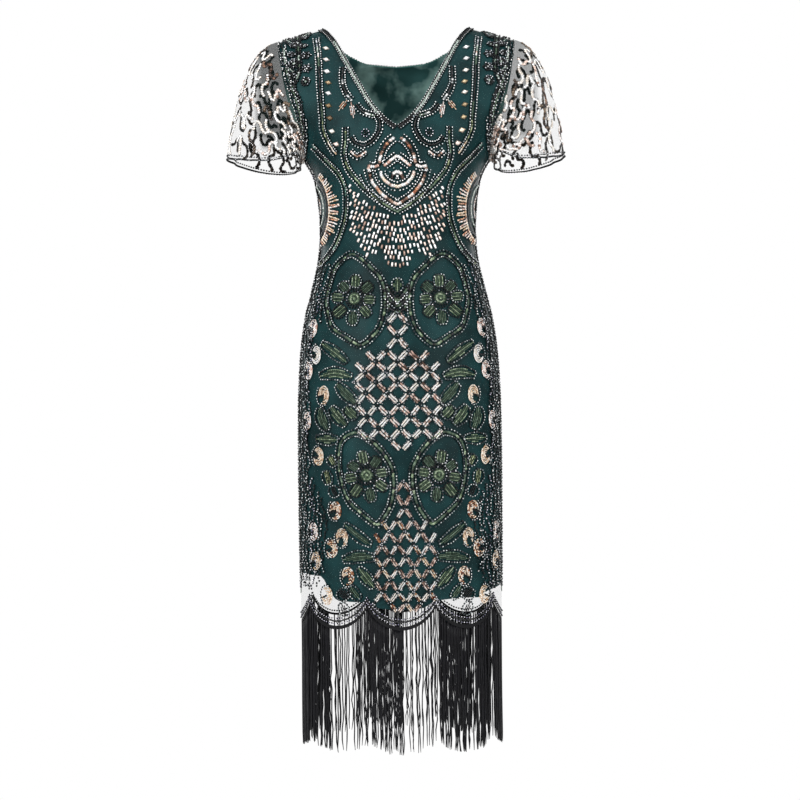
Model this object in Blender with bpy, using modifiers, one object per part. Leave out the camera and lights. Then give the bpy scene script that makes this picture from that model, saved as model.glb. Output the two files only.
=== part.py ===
"""A beaded flapper dress, filled out as if worn: a V-necked sheath of beaded net over a satin slip,
with net sleeves, a scalloped hem and a long fringe.

The origin is midway between the two high shoulder points, where the wearer carries the dress.
The front faces -Y, the wearer's left is +X, and +Z is up. Sizes are in metres.
"""

from collections import namedtuple
from math import asin, cos, pi, sin

import bmesh
import bpy
from mathutils import Vector
from mathutils.bvhtree import BVHTree

# Driving sizes
SEAM_GAP = 0.0005  # between two panels that are sewn edge to edge
CURVED_SEAM_GAP = 0.0010  # at armholes, cuffs and scallops, whose edges turn towards each other
LAYER_GAP = 0.0005  # between two layers that lie on each other
NET_THICKNESS = 0.0012
LINING_THICKNESS = 0.0010
BRAID_WIDTH = 0.009  # of the braid that heads the fringe
BRAID_THICKNESS = 0.0018
FRINGE_END = -1.124  # of its highest points, below those of the hem
FRINGE_END_DEPTH = 0.019  # of the scallops that are left in its lower edge
FRINGE_THICKNESS = 0.0030
NECK_TRIM_WIDTH = 0.008
BACK_BINDING_WIDTH = 0.006
TRIM_THICKNESS = 0.0016
TRIM_LIFT = 0.0010  # of a trim off the panel that it lies on
CUFF_BAND_WIDTH = 0.006
CUFF_BAND_THICKNESS = 0.0020
SCALLOPS = 8  # round the whole hem, one of them centred in front
SCALLOP_DEPTH = 0.036
SCALLOP_ROUNDNESS = 0.75  # 0.5 is a half ellipse
HEM_HEIGHT = -0.907  # of the points between two scallops
LINING_HEM_HEIGHT = -0.900

COLUMNS = 8  # from the middle of a panel to its side
HEM_COLUMNS = 2 * COLUMNS
ARC_STEPS = 96  # for measuring along a row
SAME_PLACE = 1e-6
MERGE_DISTANCE = 0.0001  # at the mirror plane
STEEPEST_TRIM = 0.4  # the least sine between a trim's edge and the rows that it crosses
SLEEVE_RINGS = 5
TRIM_STEPS = 3  # of a trim between two rows of its panel

# One row of a yoke, from its neck edge or its middle out to its armhole.
Row = namedtuple("Row", "neck_x neck_z side_x side_y side_z mid_y fullness")
# One level of the body, whose front and back depths differ.
Level = namedtuple("Level", "mid_z side_z half_width front_depth back_depth")

FRONT_YOKE = (
    Row(neck_x=0.117, neck_z=0.000, side_x=0.190, side_y=0.000, side_z=-0.020, mid_y=0.000, fullness=1.0),
    Row(neck_x=0.1085, neck_z=-0.008, side_x=0.189, side_y=-0.021, side_z=-0.028, mid_y=-0.020, fullness=1.0),
    Row(neck_x=0.095, neck_z=-0.026, side_x=0.186, side_y=-0.038, side_z=-0.049, mid_y=-0.042, fullness=1.0),
    Row(neck_x=0.0765, neck_z=-0.061, side_x=0.179, side_y=-0.048, side_z=-0.082, mid_y=-0.067, fullness=0.95),
    Row(neck_x=0.056, neck_z=-0.100, side_x=0.168, side_y=-0.052, side_z=-0.118, mid_y=-0.087, fullness=0.85),
    Row(neck_x=0.035, neck_z=-0.137, side_x=0.156, side_y=-0.048, side_z=-0.154, mid_y=-0.101, fullness=0.72),
    Row(neck_x=0.0155, neck_z=-0.160, side_x=0.147, side_y=-0.034, side_z=-0.186, mid_y=-0.108, fullness=0.58),
    Row(neck_x=0.000, neck_z=-0.172, side_x=0.147, side_y=0.000, side_z=-0.212, mid_y=-0.112, fullness=0.48),
)
BACK_YOKE = (
    Row(neck_x=0.117, neck_z=0.000, side_x=0.190, side_y=0.000, side_z=-0.020, mid_y=0.000, fullness=1.0),
    Row(neck_x=0.105, neck_z=-0.012, side_x=0.190, side_y=0.021, side_z=-0.028, mid_y=0.018, fullness=1.0),
    Row(neck_x=0.082, neck_z=-0.030, side_x=0.188, side_y=0.040, side_z=-0.050, mid_y=0.038, fullness=1.0),
    Row(neck_x=0.045, neck_z=-0.044, side_x=0.183, side_y=0.053, side_z=-0.082, mid_y=0.058, fullness=1.0),
    Row(neck_x=0.000, neck_z=-0.049, side_x=0.175, side_y=0.059, side_z=-0.118, mid_y=0.071, fullness=0.95),
    Row(neck_x=0.000, neck_z=-0.088, side_x=0.164, side_y=0.056, side_z=-0.154, mid_y=0.090, fullness=0.8),
    Row(neck_x=0.000, neck_z=-0.132, side_x=0.153, side_y=0.040, side_z=-0.186, mid_y=0.103, fullness=0.62),
    Row(neck_x=0.000, neck_z=-0.172, side_x=0.147, side_y=0.000, side_z=-0.212, mid_y=0.109, fullness=0.48),
)
BODY = (
    Level(mid_z=-0.206, side_z=-0.234, half_width=0.1345, front_depth=0.116, back_depth=0.110),
    Level(mid_z=-0.240, side_z=-0.262, half_width=0.1275, front_depth=0.120, back_depth=0.107),
    Level(mid_z=-0.275, side_z=-0.290, half_width=0.1245, front_depth=0.119, back_depth=0.102),
    Level(mid_z=-0.326, side_z=-0.330, half_width=0.1230, front_depth=0.112, back_depth=0.097),
    Level(mid_z=-0.370, side_z=-0.370, half_width=0.1265, front_depth=0.106, back_depth=0.098),
    Level(mid_z=-0.412, side_z=-0.412, half_width=0.1360, front_depth=0.105, back_depth=0.104),
    Level(mid_z=-0.456, side_z=-0.456, half_width=0.1470, front_depth=0.108, back_depth=0.113),
    Level(mid_z=-0.506, side_z=-0.506, half_width=0.1550, front_depth=0.111, back_depth=0.121),
    Level(mid_z=-0.570, side_z=-0.570, half_width=0.1595, front_depth=0.114, back_depth=0.126),
    Level(mid_z=-0.660, side_z=-0.660, half_width=0.1612, front_depth=0.114, back_depth=0.124),
    Level(mid_z=-0.765, side_z=-0.765, half_width=0.1612, front_depth=0.111, back_depth=0.117),
    Level(mid_z=-0.868, side_z=-0.868, half_width=0.1605, front_depth=0.108, back_depth=0.112),
)
HEM = Level(mid_z=HEM_HEIGHT, side_z=HEM_HEIGHT, half_width=0.1600, front_depth=0.107, back_depth=0.110)
BODY_FULLNESS = 0.46  # below 0.5, a section is squarer than an ellipse
ROW_LEVELNESS = 1.5  # above 1, a row stays level in the middle before it falls to its side

# The sleeve's free edge on the wearer's left, once round from its outermost point by way of the front.
CuffPoint = namedtuple("CuffPoint", "x y z")
CUFF = (
    CuffPoint(0.275, 0.000, -0.208),
    CuffPoint(0.256, -0.047, -0.214),
    CuffPoint(0.216, -0.068, -0.219),
    CuffPoint(0.178, -0.062, -0.214),
    CuffPoint(0.158, -0.044, -0.203),
    CuffPoint(0.156, -0.006, -0.218),
    CuffPoint(0.160, 0.034, -0.222),
    CuffPoint(0.180, 0.062, -0.224),
    CuffPoint(0.218, 0.070, -0.221),
    CuffPoint(0.257, 0.047, -0.214),
)
# How far the sleeve keeps the way that it leaves the armhole, and hangs straight at the cuff, in its lengths.
SLEEVE_REACH = 0.26
SLEEVE_DROP = 0.36
CUFF_FLARE = 0.10  # how far the cloth leans out at the cuff for each unit that it falls
CUFF_SPREAD = 0.6  # and how far it leans to front and back, for each metre that it lies there
SHOULDER_LEAVE = Vector((0.97, 0, -0.24))  # the way that the cloth leaves the top of the armhole
UNDERARM_LEAVE = Vector((0.90, 0, -0.44))


def clear_scene():
    for item in list(bpy.data.objects):
        bpy.data.objects.remove(item)


def collection_named(name):
    made = bpy.data.collections.new(name)
    bpy.context.scene.collection.children.link(made)
    return made


def material_named(name, colour, roughness):
    made = bpy.data.materials.new(name)
    made.use_nodes = True
    shader = made.node_tree.nodes["Principled BSDF"]
    shader.inputs["Base Color"].default_value = (*colour, 1.0)
    shader.inputs["Roughness"].default_value = roughness
    shader.inputs["Metallic"].default_value = 0.0
    made.diffuse_color = (*colour, 1.0)
    return made


# Points of the panels

def row_point(row, x):
    """The point of a row at a given distance from the middle."""
    share = min(1.0, x / row.side_x)
    y = row.side_y + (row.mid_y - row.side_y) * cos(asin(share)) ** (2 * row.fullness)
    along = (x - row.neck_x) / (row.side_x - row.neck_x)
    fall = along if row.neck_x else share**ROW_LEVELNESS
    return Vector((x, y, row.neck_z + (row.side_z - row.neck_z) * fall))


def spaced_row(row, columns=COLUMNS):
    """Points along a row, from its first to its last, at even distances along the cloth."""
    start = asin(row.neck_x / row.side_x)
    angles = [start + (pi / 2 - start) * i / ARC_STEPS for i in range(ARC_STEPS + 1)]
    fine = [row_point(row, row.side_x * sin(angle)) for angle in angles]
    length = [0.0]
    for near, far in zip(fine, fine[1:]):
        length.append(length[-1] + (far - near).length)
    points = []
    for column in range(columns + 1):
        wanted = length[-1] * column / columns
        step = max(i for i in range(ARC_STEPS) if length[i] <= wanted)
        share = (wanted - length[step]) / (length[step + 1] - length[step])
        points.append(fine[step].lerp(fine[step + 1], min(1.0, share)))
    return points


def body_row(level, toward):
    """A level's row, on the front (toward = -1) or the back (toward = 1)."""
    depth = level.back_depth if toward > 0 else level.front_depth
    return Row(0.0, level.mid_z, level.half_width, 0.0, level.side_z, toward * depth, BODY_FULLNESS)


def scallop_drop(share, depth):
    """An edge's drop below its highest points, at a share of the way from a panel's middle to its side."""
    scallops = share * SCALLOPS / 4
    from_bottom = 2 * abs(scallops - round(scallops))
    return depth * (1 - from_bottom**2) ** SCALLOP_ROUNDNESS


def hem_row(toward, height=HEM_HEIGHT, depth=SCALLOP_DEPTH):
    """The points of the scalloped hem, or of another line below it."""
    points = spaced_row(body_row(HEM, toward), HEM_COLUMNS)
    for column, point in enumerate(points):
        point.z = height - scallop_drop(column / HEM_COLUMNS, depth)
    points[-1].y = toward * SEAM_GAP / 2
    return points


def lining_hem_row(toward):
    points = spaced_row(body_row(HEM, toward))
    for point in points:
        point.z = LINING_HEM_HEIGHT
    points[-1].y = toward * SEAM_GAP / 2
    return points


def panel_rows(toward, hem):
    """All rows of half a panel, from the shoulder seam to the given hem row."""
    yoke = BACK_YOKE if toward > 0 else FRONT_YOKE
    rows = [spaced_row(row) for row in yoke]
    rows += [spaced_row(body_row(level, toward)) for level in BODY]
    for row in rows[len(yoke) - 1:]:
        row[-1].y = toward * SEAM_GAP / 2
    for point in rows[0]:
        point.y = toward * SEAM_GAP / 2
    return [*rows, hem]


# Normals and walls

def grid_normals(rows, closed=False):
    """Unit normals of a grid. On a seam or in the mirror plane, a normal is kept in that plane."""
    found = []
    last_row, last_column = len(rows) - 1, len(rows[0]) - 1
    for r, row in enumerate(rows):
        line = []
        for c, point in enumerate(row):
            down = rows[min(r + 1, last_row)][c] - rows[max(r - 1, 0)][c]
            if closed:
                across = row[(c + 1) % last_column] - row[(c - 1) % last_column]
            else:
                across = row[min(c + 1, last_column)] - row[max(c - 1, 0)]
            normal = across.cross(down)
            if not closed and abs(point.x) <= SEAM_GAP:
                normal.x = 0
            if not closed and abs(point.y) <= SEAM_GAP:
                normal.y = 0
            line.append(normal.normalized())
        found.append(line)
    return found


def scaled(normals, length):
    return [[normal * length for normal in line] for line in normals]


def moved(rows, shifts):
    return [[point + shift for point, shift in zip(row, line)] for row, line in zip(rows, shifts)]


def panel_normals(rows, toward, mitres=None):
    """Outward normals of a panel. At the armhole they are the mitres that body and sleeve share."""
    normals = grid_normals(rows)
    if normals[len(rows) // 2][0].y * toward < 0:
        normals = scaled(normals, -1)
    if mitres:
        for r, mitre in enumerate(mitres[toward]):
            normals[r][-1] = mitre
    return normals


def place_key(point):
    return tuple(round(value, 6) for value in point)


def sheet_bmesh(rows, hem):
    """An open sheet of cloth through the rows. A hem, where given, has twice their columns."""
    bm = bmesh.new()
    bmesh.ops.create_grid(bm, x_segments=len(rows[0]) - 1, y_segments=len(rows) - 1, size=1)
    bm.verts.ensure_lookup_table()
    ordered = sorted(bm.verts, key=lambda v: (round(-v.co.y, 4), round(v.co.x, 4)))
    for vertex, point in zip(ordered, (p for row in rows for p in row)):
        vertex.co = point
    if hem:
        last = ordered[-len(rows[0]):]
        edges = [e for e in bm.edges if e.verts[0] in last and e.verts[1] in last]
        made = bmesh.ops.subdivide_edges(bm, edges=edges, cuts=1)["geom_inner"]
        for vertex in (item for item in made if isinstance(item, bmesh.types.BMVert)):
            vertex.co = min(hem[1::2], key=lambda point: (point.xy - vertex.co.xy).length)
    bmesh.ops.remove_doubles(bm, verts=bm.verts, dist=SAME_PLACE)
    return bm


def wall_object(name, rows, shifts, material, group, mirrored=True, hem=None, hem_shifts=None):
    """A closed wall: a sheet of cloth extruded by each of its points' own shift."""
    bm = sheet_bmesh(rows, hem)
    far_side = {place_key(p): p + s for row, line in zip(rows, shifts) for p, s in zip(row, line)}
    if hem:
        far_side |= {place_key(p): p + s for p, s in zip(hem, hem_shifts)}
    made = bmesh.ops.extrude_face_region(bm, geom=bm.faces[:], use_keep_orig=True)["geom"]
    for vertex in (item for item in made if isinstance(item, bmesh.types.BMVert)):
        vertex.co = far_side[place_key(vertex.co)]
    if mirrored:
        in_plane = [f for f in bm.faces if all(abs(v.co.x) < SAME_PLACE for v in f.verts)]
        bmesh.ops.delete(bm, geom=in_plane, context="FACES_ONLY")
    bmesh.ops.recalc_face_normals(bm, faces=bm.faces)
    mesh = bpy.data.meshes.new(name)
    bm.to_mesh(mesh)
    bm.free()
    made = bpy.data.objects.new(name, mesh)
    made.data.materials.append(material)
    group.objects.link(made)
    if mirrored:
        mirror = made.modifiers.new("Other half", "MIRROR")
        mirror.use_clip = True
        mirror.merge_threshold = MERGE_DISTANCE
    for face in mesh.polygons:
        face.use_smooth = True
    return made


# Front and back

def add_panels(materials, group, mitres):
    """Net over lining, front and back, with the braid and the fringe below the net's hem."""
    for toward, side in ((-1, "front"), (1, "back")):
        hem = hem_row(toward)
        rows = panel_rows(toward, hem[::2])
        normals = panel_normals(rows, toward, mitres)
        wall_object(
            f"{side}_net", rows, scaled(normals, -NET_THICKNESS), materials["net"], group,
            hem=hem, hem_shifts=hem_shifts(hem, -NET_THICKNESS),
        )
        rows = panel_rows(toward, lining_hem_row(toward))
        normals = panel_normals(rows, toward, mitres)
        under = moved(rows, scaled(normals, -NET_THICKNESS - LAYER_GAP))
        wall_object(f"{side}_lining", under, scaled(normals, -LINING_THICKNESS), materials["lining"], group)
        add_fringe(toward, side, materials, group)


def hem_shifts(hem, length):
    """Level shifts across the points of a hem, in its own plane at the side seam and the middle."""
    rows = [hem, [point + Vector((0, 0, -1)) for point in hem]]
    normals = grid_normals(rows)[0]
    if normals[0].y * hem[0].y < 0:
        length = -length
    return [normal * length for normal in normals]


def add_fringe(toward, side, materials, group):
    """The braid under the hem, and one solid of the reach of the fringe that hangs from it."""
    braid_top = HEM_HEIGHT - CURVED_SEAM_GAP
    braid_end = braid_top - BRAID_WIDTH
    braid = [hem_row(toward, braid_top), hem_row(toward, braid_end)]
    fringe = [hem_row(toward, braid_end - CURVED_SEAM_GAP), hem_row(toward, FRINGE_END, FRINGE_END_DEPTH)]
    pieces = (
        (f"{side}_fringe_braid", braid, BRAID_THICKNESS, "braid"),
        (f"{side}_fringe", fringe, FRINGE_THICKNESS, "fringe"),
    )
    for name, rows, thickness, look in pieces:
        shifts = hem_shifts(rows[0], -thickness)
        wall_object(name, rows, [shifts, shifts], materials[look], group)


# Sleeves

def armhole_ring():
    """Points round the left armhole, from the shoulder tip down the front, and how the sleeve leaves each."""
    ring = []
    for yoke, order in ((FRONT_YOKE, 1), (BACK_YOKE, -1)):
        rows = [spaced_row(row) for row in yoke]
        edge = [(row[-1], (row[-1] - row[-2]).normalized()) for row in rows]
        ring += edge[::order][:-1]
    underarm = len(FRONT_YOKE) - 1
    ring[0] = (ring[0][0], SHOULDER_LEAVE)
    ring[underarm] = (ring[underarm][0], UNDERARM_LEAVE)
    return ring


def round_curve(points, share):
    """A point of the closed smooth curve through some points, at a share of the way round."""
    place = share * len(points)
    i = int(place) % len(points)
    t = place - int(place)
    a, b, c, d = (Vector(points[(i + k) % len(points)]) for k in (-1, 0, 1, 2))
    return 0.5 * (2 * b + (c - a) * t + (2 * a - 5 * b + 4 * c - d) * t**2 + (3 * b - a - 3 * c + d) * t**3)


def bezier(start, leave, end, arrive, t):
    return (
        start * (1 - t) ** 3
        + (start + leave) * 3 * t * (1 - t) ** 2
        + (end - arrive) * 3 * t**2 * (1 - t)
        + end * t**3
    )


def sleeve_rows(side, levels):
    """Rings of the sleeve. Each level is a share of the way to the cuff, and a distance to add to it."""
    ring = armhole_ring()
    underarm = len(FRONT_YOKE) - 1
    columns = []
    for index in [*range(len(ring)), 0]:
        start, leave = ring[index]
        if index <= underarm:
            share = 0.5 * index / underarm
        else:
            share = 0.5 + 0.5 * (index - underarm) / (len(ring) - underarm)
        end = round_curve(CUFF, share)
        length = (end - start).length
        down = Vector((CUFF_FLARE, end.y * CUFF_SPREAD, -1.0)).normalized()
        column = []
        for whole, extra in levels:
            t = whole + extra / length
            point = bezier(start, leave * length * SLEEVE_REACH, end, down * length * SLEEVE_DROP, t)
            column.append(Vector((point.x * side, point.y, point.z)))
        columns.append(column)
    return [list(row) for row in zip(*columns)]


def sleeve_levels():
    """The levels of the sleeve's rings, clear of the panels at one end and of the cuff band at the other."""
    levels = []
    for ring in range(SLEEVE_RINGS + 1):
        share = ring / SLEEVE_RINGS
        levels.append((share, CURVED_SEAM_GAP * (1 - share) - (CUFF_BAND_WIDTH + CURVED_SEAM_GAP) * share))
    return levels


def sleeve_normals(rows, side):
    """Outward normals of a sleeve's rings."""
    normals = grid_normals(rows, closed=True)
    outermost = normals[len(rows) // 2][0]
    return normals if outermost.x * side > 0 else scaled(normals, -1)


def armhole_mitres():
    """For each row of the yokes, the normal that body and sleeve share at the armhole's edge, on the left."""
    sleeve = sleeve_normals(sleeve_rows(1, sleeve_levels()), 1)[0]
    mitres = {}
    underarm = len(FRONT_YOKE) - 1
    for toward in (-1, 1):
        rows = panel_rows(toward, lining_hem_row(toward))
        body = panel_normals(rows, toward)
        edge = []
        for r in range(underarm + 1):
            index = r if toward < 0 else (len(sleeve) - 1 - r)
            mitre = (body[r][-1] + sleeve[index]).normalized()
            if r in (0, underarm):
                mitre.y = 0
            edge.append(mitre.normalized())
        mitres[toward] = edge
    return mitres


def add_sleeves(materials, group, mitres):
    ring_mitres = mitres[-1] + mitres[1][::-1][1:]
    for side, word in ((1, "left"), (-1, "right")):
        rows = sleeve_rows(side, sleeve_levels())
        normals = sleeve_normals(rows, side)
        normals[0] = [Vector((mitre.x * side, mitre.y, mitre.z)) for mitre in ring_mitres]
        wall_object(
            f"{word}_sleeve", rows, scaled(normals, -NET_THICKNESS), materials["net"], group, mirrored=False
        )
        rows = sleeve_rows(side, ((1, -CUFF_BAND_WIDTH), (1, 0)))
        normals = sleeve_normals(rows, side)
        wall_object(
            f"{word}_cuff_band", rows, scaled(normals, -CUFF_BAND_THICKNESS), materials["beads"], group,
            mirrored=False,
        )


# Trims that lie on the net

def edge_strip(rows, normals, width):
    """Two rows of points moved out from a panel: its neck edge, and a line that wide inside it."""
    bm = sheet_bmesh(rows, None)
    panel = BVHTree.FromBMesh(bm)
    bm.free()
    last = next(r for r, row in enumerate(rows) if abs(row[0].x) < SAME_PLACE)
    frames = []
    for r in range(last + 1):
        along = (rows[min(r + 1, last)][0] - rows[max(r - 1, 0)][0]).normalized()
        across = ((rows[r + 1][0] if r == last else rows[r][1]) - rows[r][0]).normalized()
        reach = width / max(STEEPEST_TRIM, across.cross(along).length)
        frames.append((rows[r][0], across * reach, normals[r][0]))
    strip = [[], []]
    for near, following in zip(frames, frames[1:]):
        for step in range(TRIM_STEPS):
            share = step / TRIM_STEPS
            edge, across, normal = (a.lerp(b, share) for a, b in zip(near, following))
            inside = panel.find_nearest(edge + across)[0]
            for line, point in zip(strip, (edge, inside)):
                line.append(point + normal.normalized() * TRIM_LIFT)
    edge, across, normal = frames[-1]
    for line, point in zip(strip, (edge, edge + across)):
        line.append(point + normal * TRIM_LIFT)
    return strip


def add_trims(materials, group):
    """The beaded trim down both sides of the V, and the narrow binding of the back neck."""
    rows = panel_rows(-1, lining_hem_row(-1))
    strip = edge_strip(rows, panel_normals(rows, -1), NECK_TRIM_WIDTH)
    for line in strip:
        line[-1].x = SEAM_GAP / 2
    for side, word in ((1, "left"), (-1, "right")):
        turned = [[Vector((p.x * side, p.y, p.z)) for p in line] for line in strip]
        shifts = scaled(outward(turned, -1), TRIM_THICKNESS)
        wall_object(f"{word}_neck_trim", turned, shifts, materials["beads"], group, mirrored=False)
    rows = panel_rows(1, lining_hem_row(1))
    strip = edge_strip(rows, panel_normals(rows, 1), BACK_BINDING_WIDTH)
    shifts = scaled(outward(strip, 1), TRIM_THICKNESS)
    wall_object("back_neck_binding", strip, shifts, materials["lining"], group)


def outward(rows, toward):
    normals = grid_normals(rows)
    return normals if normals[0][-1].y * toward > 0 else scaled(normals, -1)


def main():
    clear_scene()
    group = collection_named("flapper_dress")
    materials = {
        "net": material_named("beaded black net", (0.020, 0.040, 0.040), 0.55),
        "lining": material_named("teal green satin", (0.018, 0.060, 0.058), 0.45),
        "beads": material_named("glass seed beads", (0.060, 0.060, 0.065), 0.20),
        "braid": material_named("black rayon braid", (0.010, 0.010, 0.012), 0.60),
        "fringe": material_named("black rayon fringe", (0.012, 0.012, 0.014), 0.50),
    }
    mitres = armhole_mitres()
    add_panels(materials, group, mitres)
    add_sleeves(materials, group, mitres)
    add_trims(materials, group)


main()
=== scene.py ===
# %% [markdown]
# # A beaded flapper dress, filled out as if it were worn
#
# The real dress is a satin slip under a net that a workroom has covered with seed beads, sequins
# and bugle beads, with sheer net sleeves and a long fringe below a scalloped hem. The CAD frame
# holds its plain walls. Here each wall is replaced by a smooth, thin sheet of cloth on the same
# form, and then every bead is sewn on to it, row by row, as a beader would do it.

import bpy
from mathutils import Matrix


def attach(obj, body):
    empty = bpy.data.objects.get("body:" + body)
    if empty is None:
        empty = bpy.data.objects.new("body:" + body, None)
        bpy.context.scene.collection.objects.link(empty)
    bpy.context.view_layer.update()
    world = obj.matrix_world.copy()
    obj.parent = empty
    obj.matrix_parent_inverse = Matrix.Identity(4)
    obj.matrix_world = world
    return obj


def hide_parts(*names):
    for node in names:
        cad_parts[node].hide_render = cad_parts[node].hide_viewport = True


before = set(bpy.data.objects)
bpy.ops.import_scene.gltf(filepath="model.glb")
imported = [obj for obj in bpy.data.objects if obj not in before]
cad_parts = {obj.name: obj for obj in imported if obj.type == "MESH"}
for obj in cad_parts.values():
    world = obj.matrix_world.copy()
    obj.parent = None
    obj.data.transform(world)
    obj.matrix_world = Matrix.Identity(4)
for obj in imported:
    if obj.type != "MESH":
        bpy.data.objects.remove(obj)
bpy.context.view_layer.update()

# %% Tools, and an empty selection
from collections import defaultdict, namedtuple
from math import cos, pi, radians, sin, tau

import bpy
import numpy as np
from mathutils import Vector
from mathutils.bvhtree import BVHTree

MM = 0.001
SAME_PLACE = 0.01 * MM  # vertices as near as this are one
chance = np.random.default_rng(1926)
bpy.ops.object.select_all(action="DESELECT")
print(len(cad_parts), "CAD nodes loaded")

# %% [markdown]
# ## Camera
#
# A whole dress is best seen from a few metres away with a long lens, level with its middle, so
# that its shape isn't distorted. The lens is worked out from the width that has to fill the
# picture at that distance.

# %% Camera
CAMERA_DISTANCE = 2.8
CAMERA_SIDE = 0.0008
CAMERA_HEIGHT = -0.594
PICTURE_WIDTH = 1.28  # metres across, at the middle of the dress
SENSOR_MM = 36.0
CAMERA_ROLL = radians(0.55)  # the dress hangs a little askew

camera_data = bpy.data.cameras.new("camera")
camera_data.sensor_width = SENSOR_MM
camera_data.lens = SENSOR_MM * CAMERA_DISTANCE / PICTURE_WIDTH
camera = bpy.data.objects.new("camera", camera_data)
camera.location = (CAMERA_SIDE, -CAMERA_DISTANCE, CAMERA_HEIGHT)
camera.rotation_euler = (radians(90), CAMERA_ROLL, 0)
bpy.context.scene.collection.objects.link(camera)
bpy.context.scene.camera = camera
print("lens in mm:", round(camera_data.lens, 2))

# %% [markdown]
# ## Light and floor
#
# Beads and sequins are small mirrors: they only sparkle when bright lamps stand in darker
# surroundings. So the room is dim to reflections and two tall soft boxes stand in front, with a
# strip overhead and a weaker pair behind, while the camera itself sees a clean white backdrop.

# %% World
scene = bpy.context.scene
scene.view_settings.view_transform = "Standard"
scene.view_settings.look = "None"
scene.view_settings.exposure = 0.0


def table(columns, *rows):
    """Rows whose values can be asked for by the names of their columns."""
    kind = namedtuple("TableRow", columns)
    return [kind(*values) for values in rows]


def linear(hex_colour):
    """The linear RGB values of an sRGB colour written as six hex digits."""
    shares = [int(hex_colour[i:i + 2], 16) / 255 for i in (0, 2, 4)]
    return tuple(s / 12.92 if s <= 0.04045 else ((s + 0.055) / 1.055) ** 2.4 for s in shares)


def add_node(tree, kind, inputs=None, **settings):
    """Adds a node. Its inputs, by name or number, take either a value or another node's socket."""
    made = tree.nodes.new(kind)
    for name, value in settings.items():
        setattr(made, name, value)
    for socket, value in (inputs or {}).items():
        if isinstance(value, bpy.types.NodeSocket):
            tree.links.new(value, made.inputs[socket])
        else:
            made.inputs[socket].default_value = value
    return made


def new_material(name, **settings):
    """A material with a Principled shader, its node tree and that shader."""
    material = bpy.data.materials.new(name)
    material.use_nodes = True
    tree = material.node_tree
    shader = tree.nodes["Principled BSDF"]
    for socket, value in settings.items():
        shader.inputs[socket.replace("_", " ")].default_value = value
    return material, tree, shader


ROOM_LIGHT = 0.62
BACKDROP_LIGHT = 1.0
world = bpy.data.worlds.new("studio")
scene.world = world
world.use_nodes = True
sky = world.node_tree
sky.nodes.clear()
room = add_node(sky, "ShaderNodeBackground", {"Color": (1, 1, 1, 1), "Strength": ROOM_LIGHT})
backdrop = add_node(sky, "ShaderNodeBackground", {"Color": (1, 1, 1, 1), "Strength": BACKDROP_LIGHT})
ray = add_node(sky, "ShaderNodeLightPath")
seen = {0: ray.outputs["Is Camera Ray"], 1: room.outputs[0], 2: backdrop.outputs[0]}
both = add_node(sky, "ShaderNodeMixShader", seen)
add_node(sky, "ShaderNodeOutputWorld", {"Surface": both.outputs[0]})
print("room light", ROOM_LIGHT, "and backdrop", BACKDROP_LIGHT)

# %% Lamps and floor
LAMPS = table(
    "name place aim width height power",
    ("key soft box", (-1.5, -2.1, 0.1), (0, 0, -0.5), 0.5, 1.4, 44),
    ("fill soft box", (1.7, -1.9, -0.2), (0, 0, -0.6), 0.5, 1.4, 24),
    ("overhead strip", (0, -1.2, 1.3), (0, 0, -0.2), 1.2, 0.4, 18),
    ("left back light", (-1.6, 1.9, 0.2), (0, 0, -0.6), 0.5, 1.2, 16),
    ("right back light", (1.5, 2.0, 0.1), (0, 0, -0.6), 0.5, 1.2, 14),
)
FLOOR_HEIGHT = -1.40  # what a dress of this size hangs above when it is worn
FLOOR_RADIUS = 0.70
FLOOR_THICKNESS = 0.02

for lamp in LAMPS:
    light = bpy.data.lights.new(lamp.name, "AREA")
    light.shape = "RECTANGLE"
    light.size = lamp.width
    light.size_y = lamp.height
    light.energy = lamp.power
    stand = bpy.data.objects.new(lamp.name, light)
    stand.location = lamp.place
    stand.rotation_euler = (Vector(lamp.aim) - Vector(lamp.place)).to_track_quat("-Z", "Y").to_euler()
    scene.collection.objects.link(stand)

bpy.ops.mesh.primitive_cylinder_add(
    vertices=96, radius=FLOOR_RADIUS, depth=FLOOR_THICKNESS,
    location=(0, 0, FLOOR_HEIGHT - FLOOR_THICKNESS / 2),
)
floor = bpy.context.object
floor.name = "floor"
paint, *_ = new_material("matt white paint", Base_Color=(*linear("f4f3f1"), 1), Roughness=0.8)
floor.data.materials.append(paint)
bpy.ops.object.select_all(action="DESELECT")
print(len(LAMPS), "lamps and a floor", FLOOR_RADIUS * 2, "m across")

# %% [markdown]
# ## The form of the body
#
# Front and back are each one panel. A panel's form is a stack of rows: in the yoke a row runs
# from the neck edge out to the armhole, and below it a row is half of a level section through
# the body. The sections are a little squarer than ellipses, as a sheath is on a figure. Between
# the rows a smooth curve runs down each column of points, which gives the soft line of the waist
# and hip that a straight join between sections would break.

# %% Rows of the panels
Row = namedtuple("Row", "neck_x neck_z side_x side_y side_z mid_y fullness")
Level = namedtuple("Level", "mid_z side_z half_width front_depth back_depth")

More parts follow.
